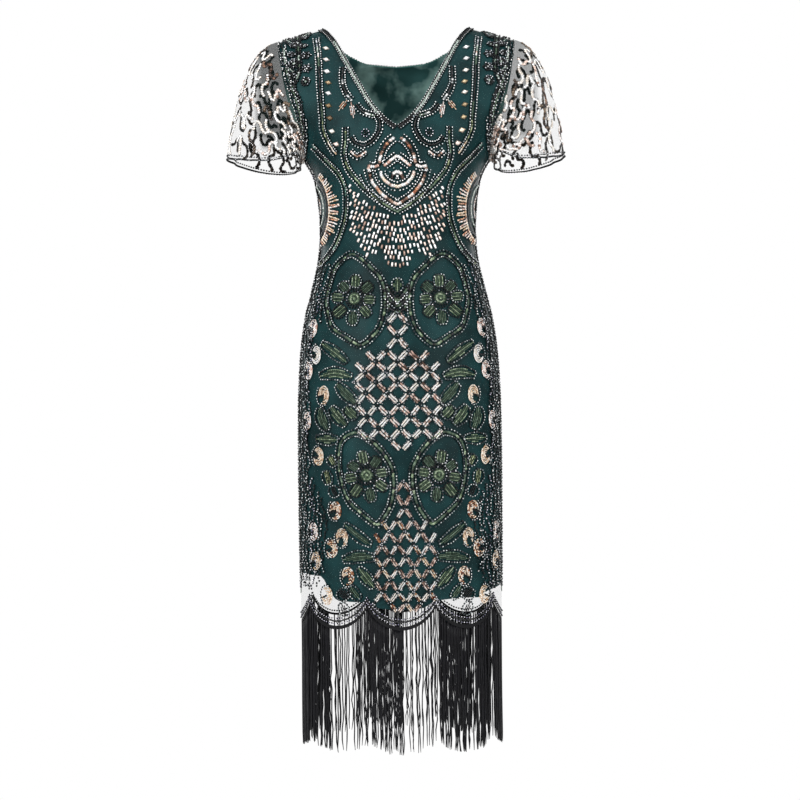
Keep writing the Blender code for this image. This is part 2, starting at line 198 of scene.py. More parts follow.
FRONT_YOKE = (
    Row(0.117, 0.000, 0.190, 0.000, -0.020, 0.000, 1.0),
    Row(0.1085, -0.008, 0.189, -0.021, -0.028, -0.020, 1.0),
    Row(0.095, -0.026, 0.186, -0.038, -0.049, -0.042, 1.0),
    Row(0.0765, -0.061, 0.179, -0.048, -0.082, -0.067, 0.95),
    Row(0.056, -0.100, 0.168, -0.052, -0.118, -0.087, 0.85),
    Row(0.035, -0.137, 0.156, -0.048, -0.154, -0.101, 0.72),
    Row(0.0155, -0.160, 0.147, -0.034, -0.186, -0.108, 0.58),
    Row(0.000, -0.172, 0.147, 0.000, -0.212, -0.112, 0.48),
)
BACK_YOKE = (
    Row(0.117, 0.000, 0.190, 0.000, -0.020, 0.000, 1.0),
    Row(0.105, -0.012, 0.190, 0.021, -0.028, 0.018, 1.0),
    Row(0.082, -0.0325, 0.188, 0.040, -0.050, 0.038, 1.0),
    Row(0.045, -0.0464, 0.183, 0.053, -0.082, 0.058, 1.0),
    Row(0.000, -0.049, 0.175, 0.059, -0.118, 0.071, 0.95),
    Row(0.000, -0.088, 0.164, 0.056, -0.154, 0.090, 0.8),
    Row(0.000, -0.132, 0.153, 0.040, -0.186, 0.103, 0.62),
    Row(0.000, -0.172, 0.147, 0.000, -0.212, 0.109, 0.48),
)
BODY = (
    Level(-0.206, -0.234, 0.1345, 0.116, 0.110), Level(-0.240, -0.262, 0.1275, 0.120, 0.107),
    Level(-0.275, -0.290, 0.1245, 0.119, 0.102), Level(-0.326, -0.330, 0.1230, 0.112, 0.097),
    Level(-0.370, -0.370, 0.1265, 0.106, 0.098), Level(-0.412, -0.412, 0.1360, 0.105, 0.104),
    Level(-0.456, -0.456, 0.1470, 0.108, 0.113), Level(-0.506, -0.506, 0.1550, 0.111, 0.121),
    Level(-0.570, -0.570, 0.1595, 0.114, 0.126), Level(-0.660, -0.660, 0.1612, 0.114, 0.124),
    Level(-0.765, -0.765, 0.1612, 0.111, 0.117), Level(-0.868, -0.868, 0.1605, 0.108, 0.112),
)
HEM_HEIGHT = -0.907  # of the points between two scallops
HEM = Level(HEM_HEIGHT, HEM_HEIGHT, half_width=0.1600, front_depth=0.107, back_depth=0.110)
SCALLOPS = 8  # round the whole hem, one of them centred in front
SCALLOP_DEPTH = 0.036
SCALLOP_ROUNDNESS = 0.75
BODY_FULLNESS = 0.46  # below 0.5, a section is squarer than an ellipse
ROW_LEVELNESS = 1.5  # above 1, a row stays level in the middle before it falls to its side
SEAM_GAP = 0.0005
FINE_STEPS = 400  # in a line whose length is to be measured
FRONT, BACK = BOTH_SIDES = (-1, 1)
BODY_NAMES = {FRONT: "front", BACK: "back"}
SIDES = {1: "left", -1: "right"}  # of the wearer
HALVES = [(toward, side) for toward in BOTH_SIDES for side in SIDES]


def spaced_row(row, columns):
    """Points along a row, from its first to its last, at even distances along the cloth."""
    x = row.side_x * np.sin(np.linspace(np.arcsin(row.neck_x / row.side_x), pi / 2, FINE_STEPS))
    share = x / row.side_x
    y = row.side_y + (row.mid_y - row.side_y) * np.cos(np.arcsin(share)) ** (2 * row.fullness)
    along = (x - row.neck_x) / (row.side_x - row.neck_x)
    fall = along if row.neck_x else share**ROW_LEVELNESS
    points = np.stack((x, y, row.neck_z + (row.side_z - row.neck_z) * fall), axis=1)
    return evenly(points, columns)


def blended(at, known, values):
    """Rows of values between those known at some places, at other places."""
    return np.stack([np.interp(at, known, column) for column in np.asarray(values).T], axis=1)


def lengths_along(points):
    """How far along a line each of its points lies."""
    return np.concatenate(([0], np.cumsum(np.linalg.norm(np.diff(points, axis=0), axis=1))))


def evenly(points, steps):
    """A line of points, taken again at even distances along it."""
    length = lengths_along(points)
    return blended(np.linspace(0, length[-1], steps + 1), length, points)


def scallop_drop(share, depth=SCALLOP_DEPTH):
    """An edge's drop below its highest points, at a share of the way from a panel's middle to its side."""
    scallops = share * SCALLOPS / 4
    from_bottom = 2 * np.abs(scallops - np.round(scallops))
    return depth * (1 - from_bottom**2) ** SCALLOP_ROUNDNESS


def body_row(level, toward):
    depth = level.back_depth if toward == BACK else level.front_depth
    return Row(0.0, level.mid_z, level.half_width, 0.0, level.side_z, toward * depth, BODY_FULLNESS)


def half_panel(toward, columns, hem_drop):
    """The rows of half a panel. Its hem's drop is given at each column's share of the half width."""
    yoke = BACK_YOKE if toward == BACK else FRONT_YOKE
    rows = [spaced_row(row, columns) for row in yoke]
    rows += [spaced_row(body_row(level, toward), columns) for level in BODY]
    hem = spaced_row(body_row(HEM, toward), columns)
    hem[:, 2] = HEM_HEIGHT - hem_drop(np.linspace(0, 1, columns + 1))
    for row in rows[len(yoke) - 1:] + [hem]:  # the sides of front and back meet at a seam
        row[-1, 1] = toward * SEAM_GAP / 2
    rows[0][:, 1] = toward * SEAM_GAP / 2
    return np.array([*rows, hem])


SHARP_TURN, SOFT_TURN = 0.80, 0.97  # cosines: a column that turns more than the first keeps its corner


def between_rows(rows, spacing):
    """A fine grid: a smooth curve through the rows runs down each column, save where it turns a corner."""
    gaps = np.linalg.norm(np.diff(rows, axis=0), axis=2).mean(axis=1)[:, None, None]
    slopes = np.diff(rows, axis=0) / gaps
    inner = (slopes[:-1] * gaps[1:] + slopes[1:] * gaps[:-1]) / (gaps[:-1] + gaps[1:])
    turns = (slopes[:-1] * slopes[1:]).sum(axis=2, keepdims=True)
    sizes = np.linalg.norm(slopes, axis=2, keepdims=True)
    turns /= sizes[:-1] * sizes[1:]
    bend = np.clip((turns - SHARP_TURN) / (SOFT_TURN - SHARP_TURN), 0, 1)
    arriving = np.concatenate((slopes[:1], slopes[:-1] * (1 - bend) + inner * bend, slopes[-1:]))
    leaving = np.concatenate((slopes[:1], slopes[1:] * (1 - bend) + inner * bend, slopes[-1:]))
    fine = []
    for r, gap in enumerate(gaps[:, 0, 0]):
        steps = max(1, round(gap / spacing))
        for t in np.arange(steps) / steps:
            fine.append(
                (2 * t**3 - 3 * t**2 + 1) * rows[r]
                + (t**3 - 2 * t**2 + t) * gap * leaving[r]
                + (3 * t**2 - 2 * t**3) * rows[r + 1]
                + (t**3 - t**2) * gap * arriving[r + 1]
            )
    fine = np.array([*fine, rows[-1]])
    fine[:, :, 0] = np.maximum(fine[:, :, 0], 0)
    return fine


print(len(FRONT_YOKE) + len(BODY) + 1, "rows in each panel")

# %% [markdown]
# ## Making a sheet of cloth
#
# Each sheet starts as a flat grid, with one vertex for each point of the form. The grid's UV map
# is set to the distances along the cloth in millimetres, so that a weave has its true scale
# everywhere. The form is symmetric, so half a panel is laid out and mirrored. Creases are pushed
# in afterwards, because no two sides of a worn dress crease alike.

# %% A grid laid on points
def active(piece):
    bpy.ops.object.select_all(action="DESELECT")
    piece.select_set(True)
    bpy.context.view_layer.objects.active = piece
    return piece


def apply_modifier(piece, kind, **settings):
    active(piece)
    modifier = piece.modifiers.new(kind.title(), kind)
    for name, value in settings.items():
        setattr(modifier, name, value)
    bpy.ops.object.modifier_apply(modifier=modifier.name)


def in_edit_mode(piece, operator, **settings):
    """Runs an operator on the whole of a piece's mesh."""
    active(piece)
    bpy.ops.object.mode_set(mode="EDIT")
    bpy.ops.mesh.select_all(action="SELECT")
    operator(**settings)
    bpy.ops.object.mode_set(mode="OBJECT")


def triples(collection, name):
    """Three numbers for each member of one of a mesh's collections, such as its vertices' places."""
    values = np.zeros(len(collection) * 3)
    collection.foreach_get(name, values)
    return values.reshape(-1, 3)


def coordinates(mesh):
    return triples(mesh.vertices, "co")


def put_coordinates(mesh, points):
    mesh.vertices.foreach_set("co", np.ascontiguousarray(points, dtype=np.float32).ravel())
    mesh.update()


FLAT_DECIMALS = 5  # enough to tell two vertices of a flat grid apart


def laid_grid(name, points):
    """A grid object with its vertices on the given rows of points, and cloth millimetres as its UV map."""
    rows, columns = points.shape[:2]
    bpy.ops.mesh.primitive_grid_add(x_subdivisions=columns - 1, y_subdivisions=rows - 1, size=2)
    piece = bpy.context.object
    piece.name = name
    flat = coordinates(piece.data)
    order = np.lexsort((flat[:, 0].round(FLAT_DECIMALS), -flat[:, 1].round(FLAT_DECIMALS)))
    placed = np.empty_like(flat)
    placed[order] = points.reshape(-1, 3)
    put_coordinates(piece.data, placed)
    across = np.cumsum(np.linalg.norm(np.diff(points, axis=1, prepend=points[:, :1]), axis=2), axis=1)
    down = np.cumsum(np.linalg.norm(np.diff(points, axis=0, prepend=points[:1]), axis=2), axis=0)
    cloth = np.empty((len(flat), 2))
    cloth[order] = np.stack((across, down), axis=2).reshape(-1, 2) / MM
    corners = np.zeros(len(piece.data.loops), dtype=np.int32)
    piece.data.loops.foreach_get("vertex_index", corners)
    piece.data.uv_layers[0].data.foreach_set("uv", cloth[corners].astype(np.float32).ravel())
    return piece


def outward_looks(piece, middle_x=0.0):
    """How far each face looks away from the upright line at the middle of a body or a sleeve."""
    centres, normals = triples(piece.data.polygons, "center"), triples(piece.data.polygons, "normal")
    return (centres[:, 0] - middle_x) * normals[:, 0] + centres[:, 1] * normals[:, 1]


def face_outwards(piece, middle_x=0.0):
    if outward_looks(piece, middle_x).sum() < 0:
        piece.data.flip_normals()


def cloth_area(piece):
    return sum(face.area for face in piece.data.polygons)


print("sheets are laid in", 1 / MM, "units of cloth to the metre")

# %% [markdown]
# ## Creases
#
# A beaded net is heavy, so it falls nearly smooth, with a few soft troughs: from the bust to the
# side, across the waist where the body bends, and down the skirt. Each crease is a short path
# with its own depth and width. The sleeves crease more, down from the shoulder.

# %% Where the cloth creases
# Places are in millimetres: across from the middle to the viewer's right, and down from the shoulders.
FRONT_CREASES = table(
    "path depth width",
    (((-128, 236), (-96, 262), (-70, 272)), 2.2, 9), (((126, 240), (98, 258), (64, 282)), 1.8, 8),
    (((-122, 300), (-84, 322), (-30, 330)), 1.6, 10), (((122, 318), (80, 342), (38, 346)), 2.0, 9),
    (((-118, 344), (-90, 366), (-58, 372)), 1.3, 7), (((-20, 420), (-28, 520), (-24, 600)), 1.2, 14),
    (((66, 470), (72, 580), (60, 700)), 1.6, 16), (((-98, 560), (-104, 700), (-96, 840)), 2.2, 15),
    (((112, 600), (106, 740), (116, 880)), 2.0, 13), (((14, 640), (22, 760), (12, 900)), 1.4, 16),
    (((-52, 700), (-46, 800), (-54, 920)), 1.7, 12), (((-146, 420), (-120, 470), (-112, 520)), 1.5, 9),
)
BACK_CREASES = table(
    "path depth width",
    (((-62, 40), (-40, 66), (-6, 88)), 3.4, 9), (((58, 44), (36, 84), (2, 112)), 3.0, 10),
    (((-96, 60), (-66, 110), (-52, 150)), 2.6, 10), (((-120, 250), (-80, 276), (-20, 282)), 2.0, 10),
    (((124, 262), (86, 300), (50, 306)), 2.3, 9), (((-110, 322), (-60, 346), (10, 350)), 2.0, 11),
    (((118, 340), (72, 366), (30, 368)), 1.5, 8), (((-6, 90), (-2, 160), (-8, 240)), 1.2, 14),
    (((44, 480), (60, 600), (52, 760)), 1.8, 16), (((-70, 540), (-84, 700), (-76, 860)), 2.2, 15),
    (((-16, 640), (-8, 780), (-20, 910)), 1.4, 13), (((102, 620), (110, 760), (98, 900)), 1.9, 14),
)


def distance_to_path(places, path):
    """For each place, its distance to a path and the share of the path at its nearest point."""
    path = np.array(path, dtype=float)
    nearest = np.full(len(places), np.inf)
    share = np.zeros(len(places))
    pieces = len(path) - 1
    for i, (start, end) in enumerate(zip(path, path[1:])):
        along = ((places - start) @ (end - start)) / ((end - start) @ (end - start))
        along = np.clip(along, 0, 1)
        apart = np.linalg.norm(places - start - along[:, None] * (end - start), axis=1)
        closer = apart < nearest
        nearest[closer] = apart[closer]
        share[closer] = (i + along[closer]) / pieces
    return nearest, share


def trough(apart, ridge, ridge_place):
    """The depth of a soft trough, with a ridge beside it, some of its widths from its middle."""
    return np.exp(-apart**2) - ridge * np.exp(-((apart - ridge_place) ** 2))


CREASE_RIDGE = (0.45, 1.7)  # its height beside the trough's depth, and how many widths off it lies
CREASE_ENDS = (0.02, 0.98)  # a crease fades out towards both, by the next number's power of a sine
CREASE_FADE = 0.7


def creased(points, normals, creases):
    places = np.stack((points[:, 0], -points[:, 2]), axis=1) / MM
    depth = np.zeros(len(points))
    for crease in creases:
        apart, share = distance_to_path(places, crease.path)
        fade = np.sin(pi * np.clip(share, *CREASE_ENDS)) ** CREASE_FADE
        depth += crease.depth * trough(apart / crease.width, *CREASE_RIDGE) * fade
    return points - normals * (depth * MM)[:, None]


print(len(FRONT_CREASES), "creases in front and", len(BACK_CREASES), "behind")

# %% [markdown]
# ## The outer panels of net, and the slip
#
# The net carries all the beading, so it keeps the full form. The slip lies just inside it, and
# ends above the scallops in a hem that has dropped unevenly, where the bare net shows.

# %% Net and slip panels
PANEL_COLUMNS = 42  # from the middle of a panel to its side
PANEL_SPACING = 0.0072
SLIP_COLUMNS = 30
SLIP_SPACING = 0.010
NET_WALL = 0.0006
SLIP_WALL = 0.0005
SLIP_INSET = 0.0017
CREASES = {FRONT: FRONT_CREASES, BACK: BACK_CREASES}
SMOOTH_BELOW = radians(50)  # two faces that meet at more than this keep their edge
SLIP_FREE = -0.80  # below this height, the slip's hem has ridden up by uneven amounts
SLIP_HEM = (  # across from the middle to the viewer's right, and the height of the hem, in metres
    (-0.160, -0.867), (-0.123, -0.868), (-0.110, -0.893), (-0.100, -0.905), (-0.068, -0.906),
    (-0.052, -0.905), (-0.035, -0.915), (0.000, -0.918), (0.035, -0.915), (0.052, -0.904),
    (0.068, -0.903), (0.095, -0.901), (0.120, -0.903), (0.135, -0.894), (0.160, -0.888),
)


def ridden_up(points):
    """The slip's points, with its hem raised to where it hangs."""
    across, heights = zip(*SLIP_HEM)
    hem = np.interp(points[:, 0], across, heights)
    below = np.minimum(points[:, 2] - SLIP_FREE, 0)
    points[:, 2] += below * ((hem - SLIP_FREE) / (HEM_HEIGHT - SLIP_FREE) - 1)
    return points


def body_sheet(name, toward, columns, spacing, hem_drop, inset):
    points = between_rows(half_panel(toward, columns, hem_drop), spacing)
    sheet = laid_grid(name, points)
    apply_modifier(sheet, "MIRROR", use_clip=True, merge_threshold=0.0001)
    face_outwards(sheet)
    normals = triples(sheet.data.vertex_normals, "vector")
    moved = creased(coordinates(sheet.data), normals, CREASES[toward])
    put_coordinates(sheet.data, moved - normals * inset)
    return sheet


def thickened(sheet, wall):
    apply_modifier(sheet, "SOLIDIFY", thickness=wall, offset=-1, use_even_offset=False)
    active(sheet)
    bpy.ops.object.shade_smooth_by_angle(angle=SMOOTH_BELOW)
    return sheet


nets, slips = {}, {}
for toward, word in BODY_NAMES.items():
    nets[toward] = body_sheet(f"net_{word}", toward, PANEL_COLUMNS, PANEL_SPACING, scallop_drop, 0.0)
for toward, word in BODY_NAMES.items():  # a slip's own hem is level until it rides up
    slip = body_sheet(f"slip_{word}", toward, SLIP_COLUMNS, SLIP_SPACING, np.zeros_like, SLIP_INSET)
    put_coordinates(slip.data, ridden_up(coordinates(slip.data)))
    slips[toward] = slip
areas = {sheet.name: cloth_area(sheet) for sheet in (*nets.values(), *slips.values())}
print("cloth in square metres:", {name: round(area, 4) for name, area in areas.items()})

# %% [markdown]
# ## Sleeves
#
# A short flared sleeve hangs from the armhole: it leaves the shoulder sideways and then falls.
# Each line of cloth is a curve from a point of the armhole to a point of the cuff, and the rings
# between them are smoothed, so the sleeve meets the panels at the same armhole.

# %% Sleeve form
# Points round the left cuff, from its outside by the front.
CUFF = (
    (0.275, 0.000, -0.208), (0.256, -0.047, -0.214), (0.216, -0.068, -0.219),
    (0.178, -0.062, -0.214), (0.158, -0.044, -0.203), (0.156, -0.006, -0.218),
    (0.160, 0.034, -0.222), (0.180, 0.062, -0.224), (0.218, 0.070, -0.221),
    (0.257, 0.047, -0.214),
)
SLEEVE_REACH = 0.26
SLEEVE_DROP = 0.36
CUFF_FLARE = 0.10
CUFF_SPREAD = 0.6
SHOULDER_LEAVE = np.array((0.97, 0, -0.24))
UNDERARM_LEAVE = np.array((0.90, 0, -0.44))
ROW_STEPS = 8  # the first of these from the armhole gives the way that the cloth leaves it
SLEEVE_LEVELS = 44
SLEEVE_WALL = 0.0005
SLEEVE_MIDDLE = 0.21  # from the middle of the dress, for telling a sleeve's inside from its outside
SLEEVE_FALL = {1: 0.007, -1: 0.003}  # how far in the outer edge of each has fallen
FALL_FROM, FALL_REACH = 0.20, 0.075  # where the fall sets in, and how much farther out it is whole
RING_STEPS = 9  # between two points of the armhole
UNDERARM = len(FRONT_YOKE) - 1  # the number of its lowest point, counted down the front


def spline(a, b, c, d, t):
    """A place on the smooth curve from b to c, which has a before it and d after it."""
    return 0.5 * (2 * b + (c - a) * t + (2 * a - 5 * b + 4 * c - d) * t**2 + (3 * b - a - 3 * c + d) * t**3)


def round_curve(points, share):
    """The point of a smooth closed curve through some points, at a share of the way round."""
    points = np.asarray(points, dtype=float)
    place = share * len(points)
    i = int(place)
    return spline(*(points[(i + k) % len(points)] for k in (-1, 0, 1, 2)), place - i)


def armhole_ring():
    """The points round the left armhole, from the shoulder tip down the front, and the way out of each."""
    ring = []
    for yoke, order in ((FRONT_YOKE, 1), (BACK_YOKE, -1)):
        rows = [spaced_row(row, ROW_STEPS) for row in yoke]
        edge = [(row[-1], (row[-1] - row[-2]) / np.linalg.norm(row[-1] - row[-2])) for row in rows]
        ring += edge[::order][:-1]
    ring[0] = (ring[0][0], SHOULDER_LEAVE)
    ring[UNDERARM] = (ring[UNDERARM][0], UNDERARM_LEAVE)
    return ring


def sleeve_points(side):
    """Rings of points from the armhole to the cuff, on the wearer's left (side = 1) or right (-1)."""
    ring = armhole_ring()
    lines = []
    for index, (start, leave) in enumerate(ring):
        if index <= UNDERARM:
            share = 0.5 * index / UNDERARM
        else:
            share = 0.5 + 0.5 * (index - UNDERARM) / (len(ring) - UNDERARM)
        end = round_curve(CUFF, share)
        length = np.linalg.norm(end - start)
        down = np.array((CUFF_FLARE, end[1] * CUFF_SPREAD, -1.0))
        first = start + leave * length * SLEEVE_REACH
        last = end - down / np.linalg.norm(down) * length * SLEEVE_DROP
        t = np.linspace(0, 1, SLEEVE_LEVELS + 1)[:, None]
        lines.append(start * (1 - t)**3 + first * 3 * t * (1 - t)**2 + last * 3 * t**2 * (1 - t) + end * t**3)
    rings = np.array(lines).transpose(1, 0, 2)
    around = len(ring) * RING_STEPS
    fine = np.array([[round_curve(level, k / around) for k in range(around + 1)] for level in rings])
    outer = np.clip((fine[:, :, 0] - FALL_FROM) / FALL_REACH, 0, 1)
    fine[:, :, 0] -= SLEEVE_FALL[side] * outer
    return fine * (side, 1, 1)


# %% Sleeve creases and sheets
# Along a sleeve, a crease lies at a share of the way round from the shoulder by the front.
FOLDS = table(
    "around start end depth width",
    (0.10, 0.16, 1.0, 4.2, 0.016), (0.165, 0.34, 1.0, 2.4, 0.014), (0.255, 0.30, 0.98, 2.0, 0.020),
    (0.345, 0.42, 1.0, 2.6, 0.018), (0.62, 0.35, 1.0, 2.2, 0.020), (0.74, 0.24, 1.0, 3.0, 0.018),
    (0.83, 0.40, 0.97, 2.0, 0.014), (0.93, 0.30, 1.0, 3.2, 0.016),
)
FOLD_DRIFT = 0.03  # how far a fold lies from its place on the wearer's right sleeve, at the most
FOLD_WANDER = 0.012  # how far it wanders round the sleeve on its way down
FOLD_RIDGE = (0.5, 1.9)  # as for the other creases
FOLD_DEEPENING = 0.8  # the power of a sine by which a fold deepens on its way down


def fold_depth(around, down, side):
    depth = np.zeros_like(around)
    for number, fold in enumerate(FOLDS):
        centre = fold.around + (FOLD_DRIFT * sin(3 * number) if side < 0 else 0)
        centre = centre + FOLD_WANDER * np.sin(4 * down + number)
        apart = np.abs(around - centre)
        apart = np.minimum(apart, 1 - apart) / fold.width
        reach = np.clip((down - fold.start) / (fold.end - fold.start), 0, 1)
        depth += fold.depth * trough(apart, *FOLD_RIDGE) * np.sin(reach * pi / 2) ** FOLD_DEEPENING
    return depth * MM


def sleeve_grid(side):
    """The creased points of a sleeve, and their outward normals."""
    points = sleeve_points(side)
    levels, around = points.shape[:2]
    across = np.roll(points[:, :-1], -1, axis=1) - np.roll(points[:, :-1], 1, axis=1)
    normals = np.cross(across, np.gradient(points[:, :-1], axis=0))
    normals /= np.linalg.norm(normals, axis=2)[:, :, None]
    normals = np.concatenate((normals, normals[:, :1]), axis=1)
    if normals[levels // 2, 0, 0] * side < 0:
        normals = -normals
    share_round = np.linspace(0, 1, around)[None, :].repeat(levels, axis=0)
    share_down = np.linspace(0, 1, levels)[:, None].repeat(around, axis=1)
    return points - normals * fold_depth(share_round, share_down, side)[:, :, None], normals


# How much more opaque, and so darker, the net is where it is eased into the armhole, on each side:
# the net's real fullness there, and painted shade.
GATHER_AND_SHADE_DEPTH = {1: 0.20, -1: 0.33}
GATHERED_ACROSS = (0.226, 0.008)  # how far out it ends, and over what width it fades, in metres
GATHERED_DOWN = (-0.183, 0.006)  # the same downwards


def gathered(sheet, side):
    """Marks the net's fullness and painted shade: crowded and darker inside the outer crease, down from the
    armhole, and loose beyond.
    """
    places = coordinates(sheet.data)
    inner = np.clip((GATHERED_ACROSS[0] - places[:, 0] * side) / GATHERED_ACROSS[1], 0, 1)
    upper = np.clip((places[:, 2] - GATHERED_DOWN[0]) / GATHERED_DOWN[1], 0, 1)
    fullness = sheet.data.attributes.new("gather_and_shade", "FLOAT", "POINT")
    fullness.data.foreach_set("value", (GATHER_AND_SHADE_DEPTH[side] * inner * upper).astype(np.float32))


def sleeve_sheet(side, word):
    sheet = laid_grid(f"sleeve_{word}", grids[side][0])
    gathered(sheet, side)
    in_edit_mode(sheet, bpy.ops.mesh.remove_doubles, threshold=SAME_PLACE)
    face_outwards(sheet, middle_x=SLEEVE_MIDDLE * side)
    return sheet


grids = {side: sleeve_grid(side) for side in SIDES}
sleeves = {side: sleeve_sheet(side, word) for side, word in SIDES.items()}
areas.update({sheet.name: cloth_area(sheet) for sheet in sleeves.values()})
print("sleeve cloth in square metres:", round(areas["sleeve_left"], 4), round(areas["sleeve_right"], 4))

# %% [markdown]
# ## Beads, sequins and bugle beads
#
# Three small things are sewn to the net. A seed bead is a round of dark glass, and its flat top
# is coloured bright as a painted highlight, one white spot. A sequin is a shallow dish of coloured
# foil, with a dark hole where the thread goes through. A bugle bead is a short tube. Each is
# modelled once, from a cone that keeps a small flat top, because thousands of copies can only have
# a few faces each.

# %% One model of each
Model = namedtuple("Model", "points faces tops bases")
Size = namedtuple("Size", "sides turn length width height top")  # degrees, mm, and the top's share
SIZES = {
    # A bead's flat top carries its painted highlight, so the top's share sets the size of the white spot.
    "bead": Size(5, 0, 4.3, 3.8, 2.2, 0.48),
    "sequin": Size(5, 0, 5.0, 5.2, 1.0, 0.26),
    "bugle": Size(4, 45, 7.6, 3.2, 2.2, 0.62),
    "drop": Size(4, 0, 12.0, 8.2, 2.2, 0.34),
}


def small_model(size):
    """A low cone of a few sides, lying along X, and which of its faces are its flat top and its base."""
    bpy.ops.mesh.primitive_cone_add(
        vertices=size.sides, radius1=0.5, radius2=size.top / 2, depth=1, location=(0, 0, 0.5),
        rotation=(0, 0, radians(size.turn)),
    )
    shape = bpy.context.object
    bpy.ops.object.transform_apply(location=True, rotation=True, scale=True)
    points = coordinates(shape.data)
    points[:, :2] /= 2 * np.abs(points[:, :2]).max(axis=0)
    points *= (size.length * MM, size.width * MM, size.height * MM)
    faces = [tuple(face.vertices) for face in shape.data.polygons]
    tops = [face.normal.z > 0.99 for face in shape.data.polygons]
    bases = [face.normal.z < -0.99 for face in shape.data.polygons]
    bpy.data.objects.remove(shape)
    return Model(points, faces, tops, bases)


models = {kind: small_model(size) for kind, size in SIZES.items()}
print("faces in each:", {kind: len(model.faces) for kind, model in models.items()})

# %% Colours of beads and foils
# Each finish is a handful of shades, partly real tone and partly painted glint, because no two
# foils catch the light alike. On a bead, a finish colours only its flat top, as a painted highlight.
SHADES = {
    "crystal": "ffffff e3e9ea ffffff c3cccf f4f8f8 a9b4b8",
    "smoke": "1a1c20 c9ccd2 0d0e10 8d929b 202226 e8eaee",
    "pearl": "ffffff fffaf4 faf4ec ffffff f3e9de",
    "shell": "ffffff fff8f4 f6e2d8 ffffff efd6c8 a08476 fff3ec",
    "rose": "f3ddd2 bd9d8e 8a6a5c fff0e8 654a3f e3c4b6",
    "warm": "fff4e6 f6dcc0 c98f66 8d5236 fbe6d0 5a3a2a fffdfa",
    "umber": "4a3d33 6b5a4a 352b25 85725f 231c18",
    "silver": "f8f8f6 d9dbdc ffffff a9adae 6f7273 eef0ee",
    "haze": "cdd5d6 8d979b e4eaea 565f64 a9b2b5 3a4145",
    "frost": "dfe9e2 a9baaf f6fbf7 7d9084 c4d2c9",
    "brass": "a58d6c 86704f bfa985 6a553d",
    "mist": "d3ddd4 9aa99d eef3ee 7f9387 c2cfc5",
    "lavender": "e9e7f1 b3b0c3 fbfaff 8784a0 d2cfdf",
    "blush": "fffaf6 fdf1ea ffffff f4dfd5 fff6f1 d2aa9a",
    "champagne": "fff0de f6dfc6 fffaf0 e6c8a6 fdeedd c9a583",
    "copper": "d69a76 a9694a f0c4a6 80503a fde2cd 5e3a2a",
    "bronze": "5b443a 2e211c 8a6a58 3c2c25 1c1513 a98a78",
    "jet": "0d0e10 17191c 08090a 303338 101214",
    "sage": "92a887 7f9576 a3b796 68805f b9c9ab",
    "moss": "4b604d 3f5341 5b705b 334435",
    "olive": "8d9870 5c6847 a9b48a 343d29 c3cba8",
    "leaf": "6d8570 5c735f 7f967f 4a5f4d",
    "teal": "6a9183 3f6358 94b6a8 2a463d b7d0c5",
}
shades = {name: np.array([linear(shade) for shade in listed.split()]) for name, listed in SHADES.items()}
GLASS = np.array(linear("0b1011"))
THREAD_HOLE = np.array(linear("12100f"))
print(len(shades), "finishes")

# %% [markdown]
# ## Laying the pattern on the net
#
# A workroom draws the pattern flat on paper, pricks it and dusts it through on to the net. This
# does the same: a place on the paper is a number of millimetres across from the middle and down
# from the shoulders, and it is carried straight back on to the panel behind it.

# %% From the paper to the cloth
Thread = namedtuple("Thread", "points normals length")
trees = {}
for toward, sheet in nets.items():
    corners = [vertex.co[:] for vertex in sheet.data.vertices]
    trees[toward] = BVHTree.FromPolygons(corners, [face.vertices[:] for face in sheet.data.polygons])


def points_and_normals(hits):
    return [np.array([hit[k] for hit in hits]) for k in (0, 1)]


def on_panel(places, toward):
    """The points of a panel under places of the pattern, and the panel's normals there."""
    eye = Vector((-toward * CAMERA_SIDE, toward * CAMERA_DISTANCE, CAMERA_HEIGHT))
    hits = []
    for across, down in places:
        paper = Vector((-toward * across * MM, 0, -down * MM))
        hit = trees[toward].ray_cast(eye, (paper - eye).normalized())
        hits.append(hit if hit[0] else trees[toward].find_nearest(paper))
    return points_and_normals(hits)


# How far down, and how far across the pattern's middle has drifted there.
DRIFT = ((0, 2.3), (300, -0.6), (560, -3), (680, 3), (770, 6), (860, 8), (940, 6.3))


def mirrored(places, side):
    """Places beside the middle line of the pattern, on one side or the other. The line drifts across."""
    places = np.asarray(places, dtype=float) * (side, 1)
    downs, drifts = zip(*DRIFT)
    places[:, 0] += np.interp(places[:, 1], downs, drifts)
    return places


def snapped(points, toward):
    """The points of a panel that are nearest to some points, and the panel's normals there."""
    return points_and_normals([trees[toward].find_nearest(point) for point in points])


def unit(vectors):
    return vectors / np.maximum(np.linalg.norm(vectors, axis=1), 1e-9)[:, None]


def smooth_path(places, closed=False, step=1.5):
    """A smooth line through some places, with a point about every so many millimetres."""
    places = np.array(places, dtype=float)
    if closed:
        line = np.concatenate((places[-1:], places, places[:2]))
    else:
        line = np.concatenate(([2 * places[0] - places[1]], places, [2 * places[-1] - places[-2]]))
    path = []
    for a, b, c, d in zip(line, line[1:], line[2:], line[3:]):
        steps = max(1, round(np.linalg.norm(c - b) / step))
        t = (np.arange(steps) / steps)[:, None]
        path.append(spline(a, b, c, d, t))
    return np.concatenate((*path, [line[-2]]))


def thread_of(points, normals):
    return Thread(points, normals, lengths_along(points))


def drawn(places, toward, side=1, closed=False):
    """A thread laid on a panel along a line of the pattern, or along its mirror image."""
    return thread_of(*on_panel(mirrored(smooth_path(places, closed), side), toward))


NEARBY = 1.5 * MM  # a thread's direction is taken between places as far ahead and behind


